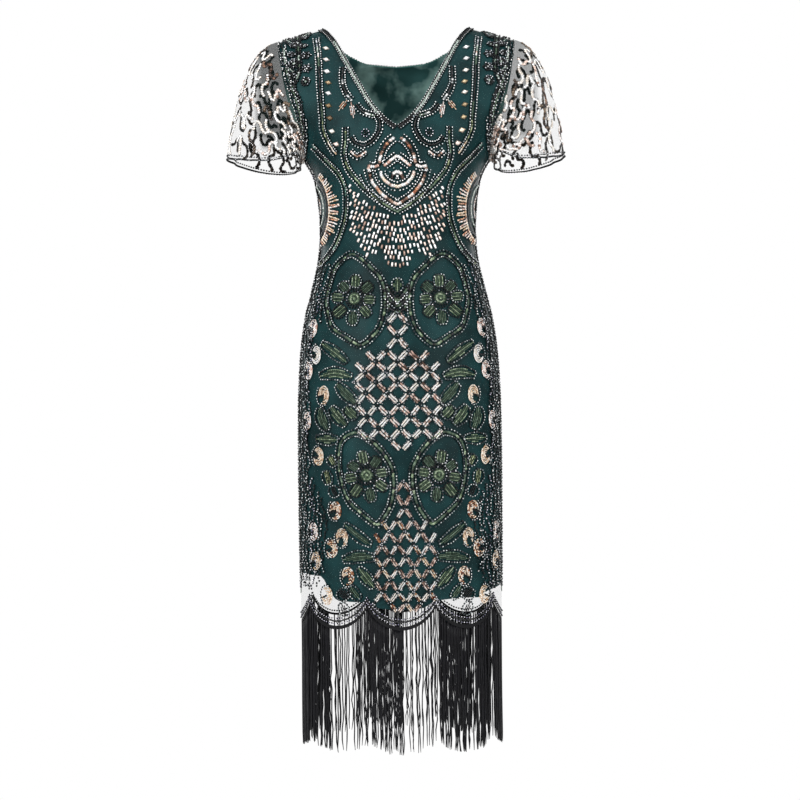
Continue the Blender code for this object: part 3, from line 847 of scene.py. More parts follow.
def stations(thread, start, end, pitch):
    """Points, directions and normals at even distances along part of a thread."""
    total = thread.length[-1]
    count = max(1, round((end - start) * total / pitch))
    at = total * (start + (end - start) * (np.arange(count) + 0.5) / count)
    places = (at, np.minimum(at + NEARBY, total), np.maximum(at - NEARBY, 0))
    points, ahead, behind = (blended(place, thread.length, thread.points) for place in places)
    return points, unit(ahead - behind), unit(blended(at, thread.length, thread.normals))


print("patterns are drawn for a view from", CAMERA_DISTANCE, "m")

# %% Sewing on
SIZE_SPREAD = (0.93, 1.07)  # times a piece's size
sewn = defaultdict(list)  # a kind of piece on a panel -> its batches


def sew(kind, panel, points, along, normals, finish, size=1.0, lean=0.0, spread=0.10, lift=0.0):
    """Notes where small pieces go. They lean by a slope, and no two lie at quite the same angle.

    A size is one number, or three: along, across and up. A lift is in millimetres.
    """
    count = len(points)
    points = points + normals * lift * MM
    along = unit(along + normals * (lean + chance.uniform(-spread, spread, (count, 1))))
    across = unit(np.cross(normals, along))
    across = unit(across + normals * chance.uniform(-spread, spread, (count, 1)))
    up = np.cross(along, across)
    colours = shades[finish][chance.integers(0, len(shades[finish]), count)]
    sizes = np.broadcast_to(np.asarray(size, dtype=float), (count, 3))
    sizes = sizes * chance.uniform(*SIZE_SPREAD, (count, 1))
    sewn[kind, panel].append((points, along, across, up, colours, sizes))


BEAD_PITCH = 4.5 * MM
CLOSE_BEADS = 3.4 * MM
SEQUIN_PITCH = 2.9 * MM
SEQUIN_LEAN = 0.16  # each one lies on the edge of the one before
RUN_LENGTHS = (0.4, 1.6)  # times the usual length of a run


def row(kind, thread, toward, finish, pitch, offset=0.0, start=0.0, end=1.0, stray=0.25, **looks):
    """A row of small pieces along a thread, or beside it by so many millimetres, give or take."""
    points, along, normals = stations(thread, start, end, pitch)
    beside = (offset + chance.normal(0, stray, (len(points), 1))) * MM
    points, normals = snapped(points + np.cross(normals, along) * beside, toward)
    sew(kind, BODY_NAMES[toward], points, along, normals, finish, **looks)


def beads(thread, toward, finish="crystal", pitch=BEAD_PITCH, **looks):
    row("bead", thread, toward, finish, pitch, **looks)


def sequins(thread, toward, finish, size=1.0, **looks):
    row("sequin", thread, toward, finish, SEQUIN_PITCH * size, size=size, lean=SEQUIN_LEAN, **looks)


def patches(finishes, count):
    """Runs of uneven length, whose finishes are taken in turn from a few."""
    finishes = finishes.split()
    ends = np.cumsum(chance.uniform(*RUN_LENGTHS, count))
    return [(finishes[number % len(finishes)], end / ends[-1]) for number, end in enumerate(ends)]


def strip(places, runs, toward, side, beside, closed=False, size=1.0, edge="crystal"):
    """A line of sequins in runs of one finish each, with a row of beads down each side."""
    thread = drawn(places, toward, side, closed)
    start = 0.0
    for finish, end in runs:
        sequins(thread, toward, finish, size, start=start, end=end)
        start = end
    for offset in (-beside, beside):
        beads(thread, toward, edge, offset=offset)


print("bead pitch", BEAD_PITCH / MM, "mm, sequin pitch", SEQUIN_PITCH / MM, "mm")

# %% [markdown]
# ## Leaves, petals and flowers
#
# A leaf is filled with close lengthwise rows of foil, and edged with beads. Its half width grows
# and shrinks along its middle line by a sine, so one function gives a long leaf, a short petal or
# the round heart of a flower.

# %% Leaf and flower
ROW_GAP = 2.7  # between the lengthwise rows, in millimetres
FOIL_STEP = 2.6
STRIPED = {"sage": "moss", "leaf": "moss", "champagne": "copper"}  # what every second row is
LEAF_FOIL = (0.80, 0.46, 1.3)
LEAF_MARGIN, LEAST_REACH = 0.8, 0.4  # how far foils keep from a leaf's edge, and the least half width
OUTLINE_POINTS = 24
LEAF_START, LEAF_SPAN = 0.06, 0.88  # the part of a sine's half wave that a half width follows


def turned(directions):
    return np.stack((-directions[:, 1], directions[:, 0]), axis=1)


def leaf_shape(places, width, blunt):
    path = smooth_path(places, step=1.0)
    length = lengths_along(path)
    share = length / length[-1]
    directions = np.gradient(path, axis=0)
    directions /= np.linalg.norm(directions, axis=1)[:, None]
    half = width / 2 * np.sin(pi * (LEAF_START + LEAF_SPAN * share)) ** blunt
    return path, directions, share, half, length[-1]


def leaf(places, width, finish, toward, side=1, blunt=0.85, edge="haze", edge_gap=3.0):
    path, directions, share, half, total = leaf_shape(places, width, blunt)
    count = max(2, round(total / FOIL_STEP))
    at = (np.arange(count) + 0.5) / count
    middle, ahead = blended(at, share, path), blended(at, share, directions)
    reach = np.maximum(np.interp(at, share, half) - LEAF_MARGIN, LEAST_REACH)
    rows = int(width / 2 / ROW_GAP)
    for number in range(-rows, rows + 1):
        inside = np.abs(number * ROW_GAP) <= reach
        if not inside.any():
            continue
        places = middle[inside] + turned(ahead[inside]) * number * ROW_GAP
        points, normals = on_panel(mirrored(places, side), toward)
        tips, _ = on_panel(mirrored(places + ahead[inside], side), toward)
        shade = STRIPED.get(finish, finish) if number % 2 else finish
        sew("sequin", BODY_NAMES[toward], points, unit(tips - points), normals, shade,
            size=LEAF_FOIL, lean=0.2, spread=0.2)
    if edge:
        outer = turned(directions) * (half + edge_gap)[:, None]
        outline = np.concatenate((path + outer, (path - outer)[::-1]))
        thin = outline[:: max(1, len(outline) // OUTLINE_POINTS)]
        beads(drawn(thin, toward, side, closed=True), toward, edge)


FLOWER_PETALS = 8
PETAL_START, PETAL_LENGTH, PETAL_WIDTH = 18.0, 20.0, 15.5  # millimetres
PETAL_STRETCH = 0.14  # the share by which a petal is longer or shorter, at the most
FLOWER_HEART = (  # radius, kind and finish of each ring
    (1.2, "sequin", "sage"), (3.8, "sequin", "moss"), (6.4, "sequin", "sage"),
    (8.8, "sequin", "moss"), (11.8, "bead", "smoke"), (15.0, "bead", "jet"),
)


def flower(centre, toward, side, turn):
    """Petals round a small heart of rings."""
    centre = np.array(centre, dtype=float)
    for number in range(FLOWER_PETALS):
        angle = tau * (number + turn) / FLOWER_PETALS
        way = np.array((sin(angle), -cos(angle)))
        stretch = 1 + PETAL_STRETCH * sin(5 * number + turn)
        ends = [centre + way * reach * stretch for reach in (PETAL_START, PETAL_START + PETAL_LENGTH)]
        finish = ("sage", "leaf", "sage")[number % 3]
        edge = ("haze", "smoke", "haze", "jet")[number % 4]
        leaf(ends, PETAL_WIDTH, finish, toward, side, blunt=0.5, edge=edge, edge_gap=1.8)
    for radius, kind, finish in FLOWER_HEART:
        ring(centre, radius, toward, side, kind, finish)


RING_POINTS = 24
SCALLOPED = 0.2  # how far a small flower's outline goes in and out, as a share of its radius


def ring(centre, radius, toward, side, kind, finish,
         squash=1.0, turn_from=0.0, turn_to=1.0, size=0.66, petals=0):
    """Small pieces round a circle, round part of one, or round a small flower's outline."""
    angles = tau * np.linspace(turn_from, turn_to, (2 * RING_POINTS if petals else RING_POINTS) + 1)
    reach = radius * (1 + (SCALLOPED * np.cos(petals * angles) if petals else 0 * angles))
    middle, facing = on_panel(mirrored([centre], side), toward)
    rightwards = unit(np.cross((0, 0, 1.0), facing)) * side
    downwards = np.array((0, 0, -1.0)) * squash
    around = np.cos(angles)[:, None] * rightwards + np.sin(angles)[:, None] * downwards
    thread = thread_of(*snapped(middle + around * reach[:, None] * MM, toward))
    if kind == "bead":
        beads(thread, toward, finish, size=0.9)
    else:
        row("sequin", thread, toward, finish, FOIL_STEP * MM, size=size, lean=0.2, spread=0.14)


print("foils in a leaf", FOIL_STEP, "mm apart, in rows", ROW_GAP, "mm apart")

# %% [markdown]
# ## The neck and the chest
#
# Two princess lines run down from the shoulders with a row of little drops hung on each. Between
# them, short curved strips and small leaves frame the V, and a band of green follows it lower
# down. Every line is drawn once for the wearer's left and mirrored.

# %% Strips of the chest
Strip = namedtuple("Strip", "name places runs")
NARROW = {"princess line": 0.7, "green band": 0.74, "armpit band": 0.74}
CHEST = (
    Strip("princess line",
          ((130, 14), (126, 50), (124, 93), (120, 142), (119, 160), (112, 178), (104, 192), (98, 200)),
          (("smoke", 0.1), ("mist", 0.16), ("blush", 0.2), ("leaf", 0.28), ("jet", 0.58), ("moss", 0.72),
           ("olive", 0.88), ("champagne", 1.0))),
    Strip("green band",
          ((83, 156), (83, 178), (85, 202), (77, 226), (61, 246), (45, 262), (21, 280), (0, 293)),
          patches("jet olive moss sage leaf", 15)),
    Strip("armpit band",
          ((136, 186), (122, 202), (106, 218), (96, 229), (88, 242), (83, 258), (82, 276), (83, 298),
           (88, 318), (99, 346), (117, 370), (130, 380)),
          patches("teal jet leaf olive moss sage", 18)),
    Strip("smile", ((74, 172), (67, 182), (54, 186), (42, 181), (33, 170), (28, 158), (29, 146), (36, 134)),
          (("jet", 1.0),)),
    Strip("small chevron", ((75, 195), (64, 204), (50, 196)),
          (("blush", 0.25), ("bronze", 0.6), ("blush", 1.0))),
)
FRONT_CHEST = (
    Strip("leaf beside the V", ((87, 60), (88, 76), (87, 90), (81, 104), (73, 114)),
          (("jet", 0.35), ("silver", 0.48), ("jet", 0.8), ("silver", 1.0))),
    Strip("strip to the V", ((66, 120), (57, 131), (46, 136), (36, 139)),
          (("jet", 0.55), ("silver", 0.8), ("leaf", 1.0))),
)
for toward, side in HALVES:
    for line in CHEST + (FRONT_CHEST if toward == FRONT else ()):
        strip(line.places, line.runs, toward, side, beside=4.6, size=NARROW.get(line.name, 0.9))
    leaf(((80, 113), (94, 130)), 9, "champagne", toward, side, edge=None)
    leaf(((74, 117), (70, 142)), 9, "blush", toward, side, edge=None)
    for radius, finish in ((2.0, "jet"), (6.0, "lavender")):
        ring((51, 166), radius, toward, side, "bead", finish)
print("chest strips:", [line.name for line in CHEST + FRONT_CHEST])

# %% Drops along the princess lines
DROPS = table(
    "across down finish",
    (112, 30, "pearl"), (112, 48, "shell"), (111, 67, "pearl"), (109, 85, "brass"), (109, 102, "pearl"),
    (109, 122, "brass"), (107, 142, "brass"), (104, 163, "champagne"), (97, 184, "blush"),
)
BACK_NECK = 50  # how far down its drops start
for toward, side in HALVES:
    for drop in DROPS:
        if toward == FRONT or drop.down >= BACK_NECK:
            points, normals = on_panel([(drop.across * side, drop.down)], toward)
            sideways = np.array([(-toward * side, 0.0, 0.25)])
            sew("drop", BODY_NAMES[toward], points, sideways, normals, drop.finish, spread=0.05)
print(len(DROPS), "drops a side")

# %% Shoulder sprays
HEADS = table(
    "across down radius finish",
    (148, 13, 5.5, "jet"), (165, 25, 7.0, "silver"), (150, 26, 5.5, "mist"), (146, 41, 6.5, "jet"),
    (166, 54, 7.5, "mist"), (145, 62, 6.5, "silver"), (170, 40, 5.5, "jet"), (147, 83, 7.0, "mist"),
    (168, 74, 6.0, "jet"),
)
PETALS = 6
STEM = ((160, 9), (158, 40), (157, 66), (164, 84), (170, 100))
SPRAY_LEAVES = (((178, 16), (166, 24)), ((140, 5), (154, 14)), ((176, 60), (166, 68)))
for toward, side in HALVES:
    runs = patches("jet mist jet moss", 16)
    strip(STEM, runs, toward, side, beside=3.6, edge="jet", size=0.85)
    for head in HEADS:
        centre = (head.across, head.down)
        inner = ((0.15, "sequin", head.finish), (0.50, "bead", "smoke"), (0.78, "sequin", "jet"))
        for share, kind, finish in inner:
            ring(centre, head.radius * share, toward, side, kind, finish)
        ring(centre, head.radius, toward, side, "bead", "smoke", petals=PETALS)
    for ends in SPRAY_LEAVES:
        leaf(ends, 6, "mist", toward, side, edge="jet", edge_gap=1.6)
print(len(HEADS), "flower heads a shoulder")

# %% [markdown]
# ## The breast medallion and the fan
#
# White and bronze arcs lie inside each other under the V, like the rays of a rising sun. Below
# the green band, bugle beads fan out from the crossing of the V in rings, each one turned to
# point at it, and the fan's lower edge hangs in small lobes.

# %% Medallion
MEDALLION = (
    Strip("arch", ((5, 174), (14, 181), (21, 190), (27, 204), (29, 217)),
          patches("shell blush bronze copper bronze", 8)),
    Strip("curl", ((47, 219), (38, 221), (30, 218)), (("blush", 1.0),)),
    Strip("outer arc", ((47, 222), (42, 240), (32, 256), (18, 270), (0, 281)),
          patches("shell bronze shell blush copper shell", 9)),
    Strip("middle arc", ((27, 228), (23, 239), (13, 248), (0, 253)), patches("shell champagne blush", 5)),
    Strip("inner chevron", ((0, 203), (11, 211), (21, 219)), (("blush", 1.0),)),
    Strip("heart", ((0, 228), (6, 232), (9, 240)), (("blush", 0.5), ("bronze", 1.0))),
)
for toward, side in HALVES:
    for line in MEDALLION:
        strip(line.places, line.runs, toward, side, beside=6.6, size=1.25)
    beads(drawn(((10, 292), (30, 278), (48, 256), (60, 232)), toward, side), toward)
print("medallion:", [line.name for line in MEDALLION])

# %% Fan of bugle beads
FAN_CENTRE = (0, 165)
FAN_SIDE = 76  # half its width
FAN_RINGS = np.arange(108, 240, 9.4)
FAN_SPACING = 6.3
FAN_LEAN = 135  # how far across a bead would lean at 45 degrees
FAN_SPREAD = 0.75  # radians to each side
FAN_STRAY = (2.8, 1.1)  # along a bead and across, in millimetres, each way
TUBE_LENGTHS = (0.72, 1.0)  # times the usual length
TUBE_WIDTH = 0.92
LOBE_EDGE = 24  # how far across the middle lobe ends and the side lobe starts


def fan_edges(across):
    """The top of the fan and the bottom of its lobes, as distances down."""
    middle_lobe = 384 - 0.030 * across**2
    side_lobe = 364 - 0.045 * (across - 44) ** 2
    return 308 - 0.60 * across - 0.0025 * across**2, np.where(across < LOBE_EDGE, middle_lobe, side_lobe)


for toward in BOTH_SIDES:
    for number, radius in enumerate(FAN_RINGS):
        count = int(radius * 2 * FAN_SPREAD / FAN_SPACING)
        angles = (np.arange(-count, count + 1) + (number % 2) / 2) * FAN_SPACING / radius
        angles = angles[np.abs(angles) < FAN_SPREAD]
        ways = np.stack((np.sin(angles), np.cos(angles)), axis=1)
        places = FAN_CENTRE + ways * (radius + chance.uniform(-FAN_STRAY[0], FAN_STRAY[0], (len(ways), 1)))
        places[:, 0] += chance.uniform(-FAN_STRAY[1], FAN_STRAY[1], len(ways))
        across = np.abs(places[:, 0])
        top, bottom = fan_edges(across)
        kept = (across < FAN_SIDE) & (places[:, 1] > top) & (places[:, 1] < bottom)
        if not kept.any():
            continue
        points, normals = on_panel(places[kept], toward)
        leans = np.stack((places[kept, 0] / FAN_LEAN, np.ones(kept.sum())), axis=1)
        tips, _ = on_panel(places[kept] + leans, toward)
        sizes = [(length, TUBE_WIDTH, 1.0) for length in chance.uniform(*TUBE_LENGTHS, kept.sum())]
        sew("bugle", BODY_NAMES[toward], points, unit(tips - points), normals, "shell", sizes, spread=0.22)
bugles = [batch for (kind, _), batches in sewn.items() if kind == "bugle" for batch in batches]
print("bugle beads:", sum(len(batch[0]) for batch in bugles))

# %% Half suns at the sides
# Uneven rays of foil stand out from a curved band that the side seam cuts off.
SUN_CENTRE = (142, 290)
SUN_RADII = (32, 60)
SUN_RAYS = 31
SUN_ARC = (0.66, 1.34)  # in half turns
SUN_BANDS = ((1.02, "champagne"), (0.90, "jet"), (0.74, "mist"), (0.60, "shell"))
SUN_FINISHES = ("blush", "shell", "copper", "champagne", "champagne")
RAY_STRETCH, RAY_STRAY = 1.25, 0.15  # how much steeper a ray lies than its angle, give or take
RAY_LENGTH, RAY_SWELL, RAY_LENGTHS = 12, 5, (0.7, 1.2)  # the middle rays are the longest
NARROW_FOIL = (0.8, 0.66, 1.3)
angles = np.linspace(*SUN_ARC, SUN_RAYS) * pi
around = np.stack((np.cos(angles), np.sin(angles)), axis=1) * SUN_RADII
for toward, side in HALVES:
    for share, finish in SUN_BANDS:
        sequins(drawn(SUN_CENTRE + around * share, toward, side), toward, finish, size=0.8)
    for number, base in enumerate(SUN_CENTRE + around):
        steepness = RAY_STRETCH * sin(angles[number]) + chance.uniform(-RAY_STRAY, RAY_STRAY)
        way = np.array((cos(angles[number]), steepness))
        long = (RAY_LENGTH + RAY_SWELL * cos((number - SUN_RAYS // 2) / 5)) * chance.uniform(*RAY_LENGTHS)
        ray = drawn((base, base + way / np.hypot(*way) * long), toward, side)
        finish = SUN_FINISHES[number % len(SUN_FINISHES)]
        row("sequin", ray, toward, finish, 2.4 * MM, size=NARROW_FOIL, lean=SEQUIN_LEAN)
print("half suns of", SUN_RAYS, "rays")

# %% [markdown]
# ## Medallions of flowers
#
# Two pairs of medallions fill the hips and the skirt. Each is a rounded outline of green foil
# between bead rows, with an eight-petalled flower inside.

# %% Flower medallions
Medallion = namedtuple("Medallion", "outline runs centre turn")
MEDALLIONS = (
    Medallion(
        outline=((65, 504), (82, 493), (95, 485), (105, 475), (110, 458), (114, 436), (111, 419), (106, 399),
                 (99, 381), (86, 367), (72, 360), (57, 368), (42, 382), (29, 396), (22, 412), (20, 430),
                 (21, 452), (25, 468), (32, 483), (45, 497), (56, 505)),
        runs=patches("sage jet leaf moss jet moss", 66),
        centre=(69, 431), turn=-0.1,
    ),
    Medallion(
        outline=((45, 793), (57, 785), (72, 772), (86, 758), (95, 738), (99, 720), (102, 700), (101, 680),
                 (97, 662), (86, 650), (70, 646), (54, 654), (42, 664), (29, 680), (18, 700), (15, 718),
                 (16, 738), (21, 760), (29, 776), (38, 788)),
        runs=patches("sage moss leaf moss jet", 66),
        centre=(58, 714), turn=0.2,
    ),
)
for toward, side in HALVES:
    for medallion in MEDALLIONS:
        strip(medallion.outline, medallion.runs, toward, side, 5.0, closed=True, size=0.95, edge="haze")
        flower(medallion.centre, toward, side, medallion.turn)
print(len(MEDALLIONS) * 2, "medallions a panel")

# %% The heart above the lattice
# A small oval leaf over a cluster of jet, drawn as short rows that all point down at the lattice.
for toward in BOTH_SIDES:
    leaf(((0, 399), (0, 421)), 13, "sage", toward, edge_gap=2.4, blunt=0.7)
    for side in SIDES:
        for rise, edge in ((0, "jet"), (13, "crystal"), (26, "jet")):
            places = ((21 - rise / 5, 411 + rise), (12, 421 + rise), (0, 435 + rise * 0.75))
            strip(places, patches("jet moss jet", 5), toward, side, beside=4.4, edge=edge)
    ring((0, 434), 3.2, toward, 1, "sequin", "sage")

# %% Lattice
# Each level lists how far down it lies. Crossings are numbered from the middle, an even number on
# one level and an odd one on the next, and a width is the last number that has a crossing. The
# finishes are those of the strips down to the left, and then of the strips down to the right.
Lattice = namedtuple("Lattice", "step levels gauge finishes")
LATTICES = (
    Lattice(
        step=17.4, gauge=1.0,
        levels=((453, 0), (472, 1), (492, 0), (514, 1), (532, 2), (549, 3), (565, 4), (582, 3), (601, 4),
                (620, 3), (639, 4), (658, 3), (676, 0)),
        finishes=(("pearl", "shell", "pearl"), ("blush", "shell", "rose", "blush")),
    ),
    Lattice(
        step=12.6, gauge=0.8,
        levels=((724, 0), (743, 1), (766, 0), (785, 1), (804, 2), (825, 3), (844, 4), (863, 3), (882, 4),
                (901, 3), (919, 4), (935, 1)),
        finishes=(("shell", "rose", "pearl"), ("rose", "warm", "champagne", "rose")),
    ),
)
LOOSE_LEVELS = (3, 4)  # each has one more strip a side, which starts that many steps out
LATTICE_SEQUINS, LATTICE_BEADS = 1.9, 4.5  # millimetres beside the middle of a strip
STRIP_ENDS = (0.19, 0.81)  # the shares of the way between two crossings at which a strip starts and ends


def lattice_strip(lattice, start, end, toward):
    """A short double row of sequins on the diagonal between two crossings."""
    start, end = np.array(start, dtype=float), np.array(end, dtype=float)
    thread = drawn([start + (end - start) * share for share in STRIP_ENDS], toward)
    finishes = lattice.finishes[int(end[0] > start[0])]
    finish = finishes[chance.integers(0, len(finishes))]
    gauge = lattice.gauge
    for offset in (-LATTICE_SEQUINS, LATTICE_SEQUINS):
        row("sequin", thread, toward, finish, 2.6 * MM, offset * gauge,
            size=(0.90, 0.66 * gauge, 1.2), lean=0.14, spread=0.16)
    for offset in (-LATTICE_BEADS, LATTICE_BEADS):
        beads(thread, toward, "smoke", offset=offset * gauge, pitch=CLOSE_BEADS, size=0.6)


for toward in BOTH_SIDES:
    for lattice in LATTICES:
        step, levels = lattice.step, zip(lattice.levels, lattice.levels[1:])
        for number, ((down, width), (below, width_below)) in enumerate(levels):
            for crossing in range(-width, width + 1, 2):
                for way in (-1, 1):
                    if abs(crossing + way) <= width_below:
                        end = ((crossing + way) * step, below)
                        lattice_strip(lattice, (crossing * step, down), end, toward)
                ring((crossing * step, down), 1.8, toward, 1, "bead", "smoke")
            for side in SIDES if number in LOOSE_LEVELS else ():
                start, end = (side * number * step, down), (side * (number - 1) * step, below)
                lattice_strip(lattice, start, end, toward)
print("lattice crossings are", [lattice.step for lattice in LATTICES], "mm apart")

# %% [markdown]
# ## Leaves and paisleys of the skirt
#
# Between the medallions and the side seams, long leaves point in to the lattice and small curled
# paisleys of warm foil open towards the seams.

# %% Leaves
LEAVES = table(
    "start bend end width finish",
    ((122, 502), (103, 515), (80, 534), 13, "sage"), ((124, 555), (99, 550), (73, 557), 15, "sage"),
    ((97, 567), (85, 582), (67, 600), 15, "leaf"), ((127, 606), (124, 624), (117, 642), 15, "leaf"),
    ((109, 604), (100, 618), (86, 634), 16, "sage"), ((85, 604), (79, 613), (69, 622), 17, "sage"),
    ((136, 655), (118, 656), (100, 657), 13, "sage"), ((116, 683), (112, 690), (107, 699), 10, "olive"),
    ((122, 706), (121, 715), (118, 728), 11, "olive"), ((114, 731), (111, 739), (107, 748), 12, "jet"),
    ((97, 792), (76, 810), (54, 826), 12, "leaf"), ((101, 849), (74, 844), (49, 846), 14, "leaf"),
    ((76, 862), (66, 875), (51, 894), 14, "sage"), ((106, 897), (100, 903), (92, 911), 17, "jet"),
    ((89, 890), (83, 901), (74, 912), 11, "leaf"), ((103, 918), (99, 928), (95, 938), 10, "jet"),
)
BACK_END = 885  # how far down the leaves and paisleys go behind
for toward, side in HALVES:
    for one in LEAVES:
        if toward == FRONT or one.end[1] <= BACK_END:
            leaf((one.start, one.bend, one.end), one.width, one.finish, toward, side)
print(len(LEAVES), "leaves a side")

# %% Paisleys
PAISLEYS = table(
    "across down turn finish",
    (135, 478, 0.03, "blush"), (130, 521, -0.05, "pearl"), (142, 546, 0.0, "blush"),
    (120, 585, 0.08, "champagne"), (148, 626, 0.0, "blush"), (134, 683, -0.08, "champagne"),
    (110, 770, 0.05, "warm"), (101, 813, 0.15, "champagne"), (118, 831, -0.05, "warm"),
    (93, 875, 0.1, "warm"), (126, 906, -0.1, "champagne"), (146, 803, 0.0, "blush"),
    (144, 850, 0.05, "champagne"),
)
# Radius in millimetres, and the share of the circle that is left open.
PAISLEY_ARCS = ((2.4, 0.26), (4.8, 0.20), (7.2, 0.15), (9.4, 0.10))
PAISLEY_HEIGHT = 1.42  # times its width
PAISLEY_FOIL = (0.84, 0.54, 1.3)
PAISLEY_BACK = (-0.22, 0.25)  # where a row of beads lies behind it, as shares of the circle


def paisley(one, toward, side):
    centre = (one.across, one.down)
    for radius, opening in PAISLEY_ARCS:
        ring(centre, radius, toward, side, "sequin", one.finish, squash=PAISLEY_HEIGHT,
             turn_from=opening + one.turn, turn_to=1 - opening * 0.4 + one.turn, size=PAISLEY_FOIL)
    seed = drawn((centre, (one.across + 9, one.down + 3)), toward, side)
    row("bead", seed, toward, "jet", CLOSE_BEADS)
    ring(centre, 12.8, toward, side, "bead", "crystal", squash=1.3,
         turn_from=PAISLEY_BACK[0] + one.turn, turn_to=PAISLEY_BACK[1] + one.turn)


for toward, side in HALVES:
    for one in PAISLEYS:
        if toward == FRONT or one.down <= BACK_END:
            paisley(one, toward, side)
print(len(PAISLEYS), "paisleys a side")

# %% [markdown]
# ## Beading along the seams and the hem
#
# The armholes and side seams are hidden under crowded rows of beads, and two rows follow the
# scallops of the hem. These keep to the cloth's own edges, so they are measured from the edges.

# %% Rows along the seams
fine_rows = {
    toward: between_rows(half_panel(toward, PANEL_COLUMNS, scallop_drop), PANEL_SPACING) for toward in nets
}


def beside_seam(toward, side, distance, top, bottom, wander):
    """A thread that many millimetres in from a panel's outer edge, between two heights."""
    rows = fine_rows[toward]
    spans = np.linalg.norm(rows[:, -1] - rows[:, -2], axis=1)
    heights = -rows[:, -1, 2] / MM
    kept = (heights >= top) & (heights <= bottom)
    inwards = distance + wander * np.sin(heights[kept] / 17)
    columns = PANEL_COLUMNS - inwards * MM / spans[kept]
    low = np.floor(columns).astype(int)
    blend = (columns - low)[:, None]
    picked = rows[kept]
    index = np.arange(len(picked))
    points = picked[index, low] * (1 - blend) + picked[index, np.minimum(low + 1, PANEL_COLUMNS)] * blend
    return thread_of(*snapped(points * (side, 1, 1), toward))


SEAM_ROWS = table(
    "distance top bottom wander finish",
    (2.5, 22, 900, 0.0, "silver"), (7.0, 26, 212, 0.8, "smoke"), (11.5, 30, 208, 1.5, "crystal"),
    (16, 88, 205, 2.0, "smoke"), (21, 150, 205, 2.0, "crystal"), (9, 212, 900, 1.2, "lavender"),
    (17, 260, 900, 2.0, "crystal"),
)
OUTLINE = [(0.0, BODY[0].half_width)] + [(-level.side_z, level.half_width) for level in (*BODY, HEM)]
# An inset is measured in from the dress's outline.
INSET_ROWS = table(
    "inset top bottom wander finish",
    (2.0, 372, 900, 0.8, "crystal"), (7.0, 366, 900, 1.2, "crystal"), (12.0, 440, 900, 1.5, "crystal"),
    (4.5, 372, 900, 1.0, "crystal"), (9.5, 360, 900, 1.4, "smoke"), (14.5, 372, 690, 1.8, "lavender"),
    (19.5, 376, 470, 2.2, "crystal"), (24.5, 384, 450, 2.5, "jet"), (15.0, 690, 900, 2.5, "crystal"),
    (20.5, 715, 900, 3.0, "lavender"), (26.0, 728, 892, 3.5, "smoke"), (32.0, 738, 870, 3.5, "crystal"),
    (38.0, 748, 850, 3.5, "jet"),
)
# How far in, top and bottom, wander, finish and size.
SEAM_SEQUINS = (
    (5.5, 590, 905, 0.0, "leaf", 0.8), (9.2, 34, 70, 1.0, "mist", 0.9),
    (9.2, 70, 205, 1.0, "leaf", 0.8), (13.8, 96, 205, 1.5, "jet", 0.8),
)
SEAM_ENDS = {FRONT: 900, BACK: 880}  # how far down the rows of beads go


def inside_outline(one, side):
    """A line of the pattern that keeps so many millimetres inside the dress's outline, as it is seen."""
    downs = np.linspace(one.top, one.bottom, 60)
    heights, widths = zip(*OUTLINE)
    across = np.interp(downs * MM, heights, widths) / MM - one.inset
    return np.stack((side * (across + one.wander * np.sin(downs / 13 + one.inset)), downs), axis=1)


for toward, side in HALVES:
    for one in SEAM_ROWS:
        bottom = min(one.bottom, SEAM_ENDS[toward])
        thread = beside_seam(toward, side, one.distance, one.top, bottom, one.wander)
        beads(thread, toward, one.finish, stray=0.6, spread=0.7)
    for one in INSET_ROWS:
        line = inside_outline(one, side)
        line = line[line[:, 1] < SEAM_ENDS[toward]]
        beads(thread_of(*on_panel(line, toward)), toward, one.finish, stray=1.5, spread=0.7)
    for *where, finish, size in SEAM_SEQUINS:
        sequins(beside_seam(toward, side, *where), toward, finish, size=size)
print(len(SEAM_ROWS) + len(INSET_ROWS), "rows beside each seam")

# %% Rows along the scallops
def right_across(edge, share, rise):
    """Points that follow the scallops at a height above them, at shares from -1 to 1 across a panel."""
    x, y = blended(np.abs(share), np.linspace(0, 1, len(edge)), edge[:, :2]).T
    return np.stack((x * np.sign(share), y, HEM_HEIGHT - scallop_drop(np.abs(share)) + rise), axis=1)


def above_hem(toward, rise):
    """A thread that follows the scallops, so many millimetres above the edge."""
    points = right_across(fine_rows[toward][-1], np.linspace(-1, 1, FINE_STEPS), rise * MM)
    return thread_of(*snapped(points, toward))


HEM_RISES = (3.0, 11.0)
for toward in BOTH_SIDES:
    for rise in HEM_RISES[: 2 if toward == FRONT else 1]:
        beads(above_hem(toward, rise), toward, "lavender", size=0.85)
sequins(above_hem(FRONT, 7.0), FRONT, "jet", size=0.7)
print("rows above the hem, in mm:", HEM_RISES)

# %% [markdown]
# ## Curls on the sleeves
#
# Vermicelli, the beader's word for wandering lines that never cross, covers the sleeves. Here it
# is broken into short curls of two or three bends, each of one finish and turned its own way. They
# are drawn on the flat sleeve, in millimetres round and down, and carried to the sleeve's own grid.

# %% Vermicelli
# Each bend of a curl is an angle in radians, to the left, or to the right where it is below zero.
CURL_BENDS = (
    (2.9, -3.0), (-3.3, 2.4), (1.8, -2.4, 2.0), (3.6, -1.2), (-2.6, 3.1), (-2.0, 2.8, -2.0),
)
CURL_RADIUS = 6.8  # millimetres
CURL_SPACING = (24, 23)  # round the sleeve and down it, in millimetres
CURLED = (0.07, 0.955)  # the shares of the way down between which the curls lie
CURL_SEQUIN = 1.12  # times the usual size
CURL_PITCH = 3.9 * MM
CURL_FINISHES = ("pearl", "umber", "shell", "pearl", "bronze", "shell", "pearl")
CURL_VARIETY = (0.85, 1.15)  # times its radius
CURL_STRAY = 3  # millimetres from its even place, each way
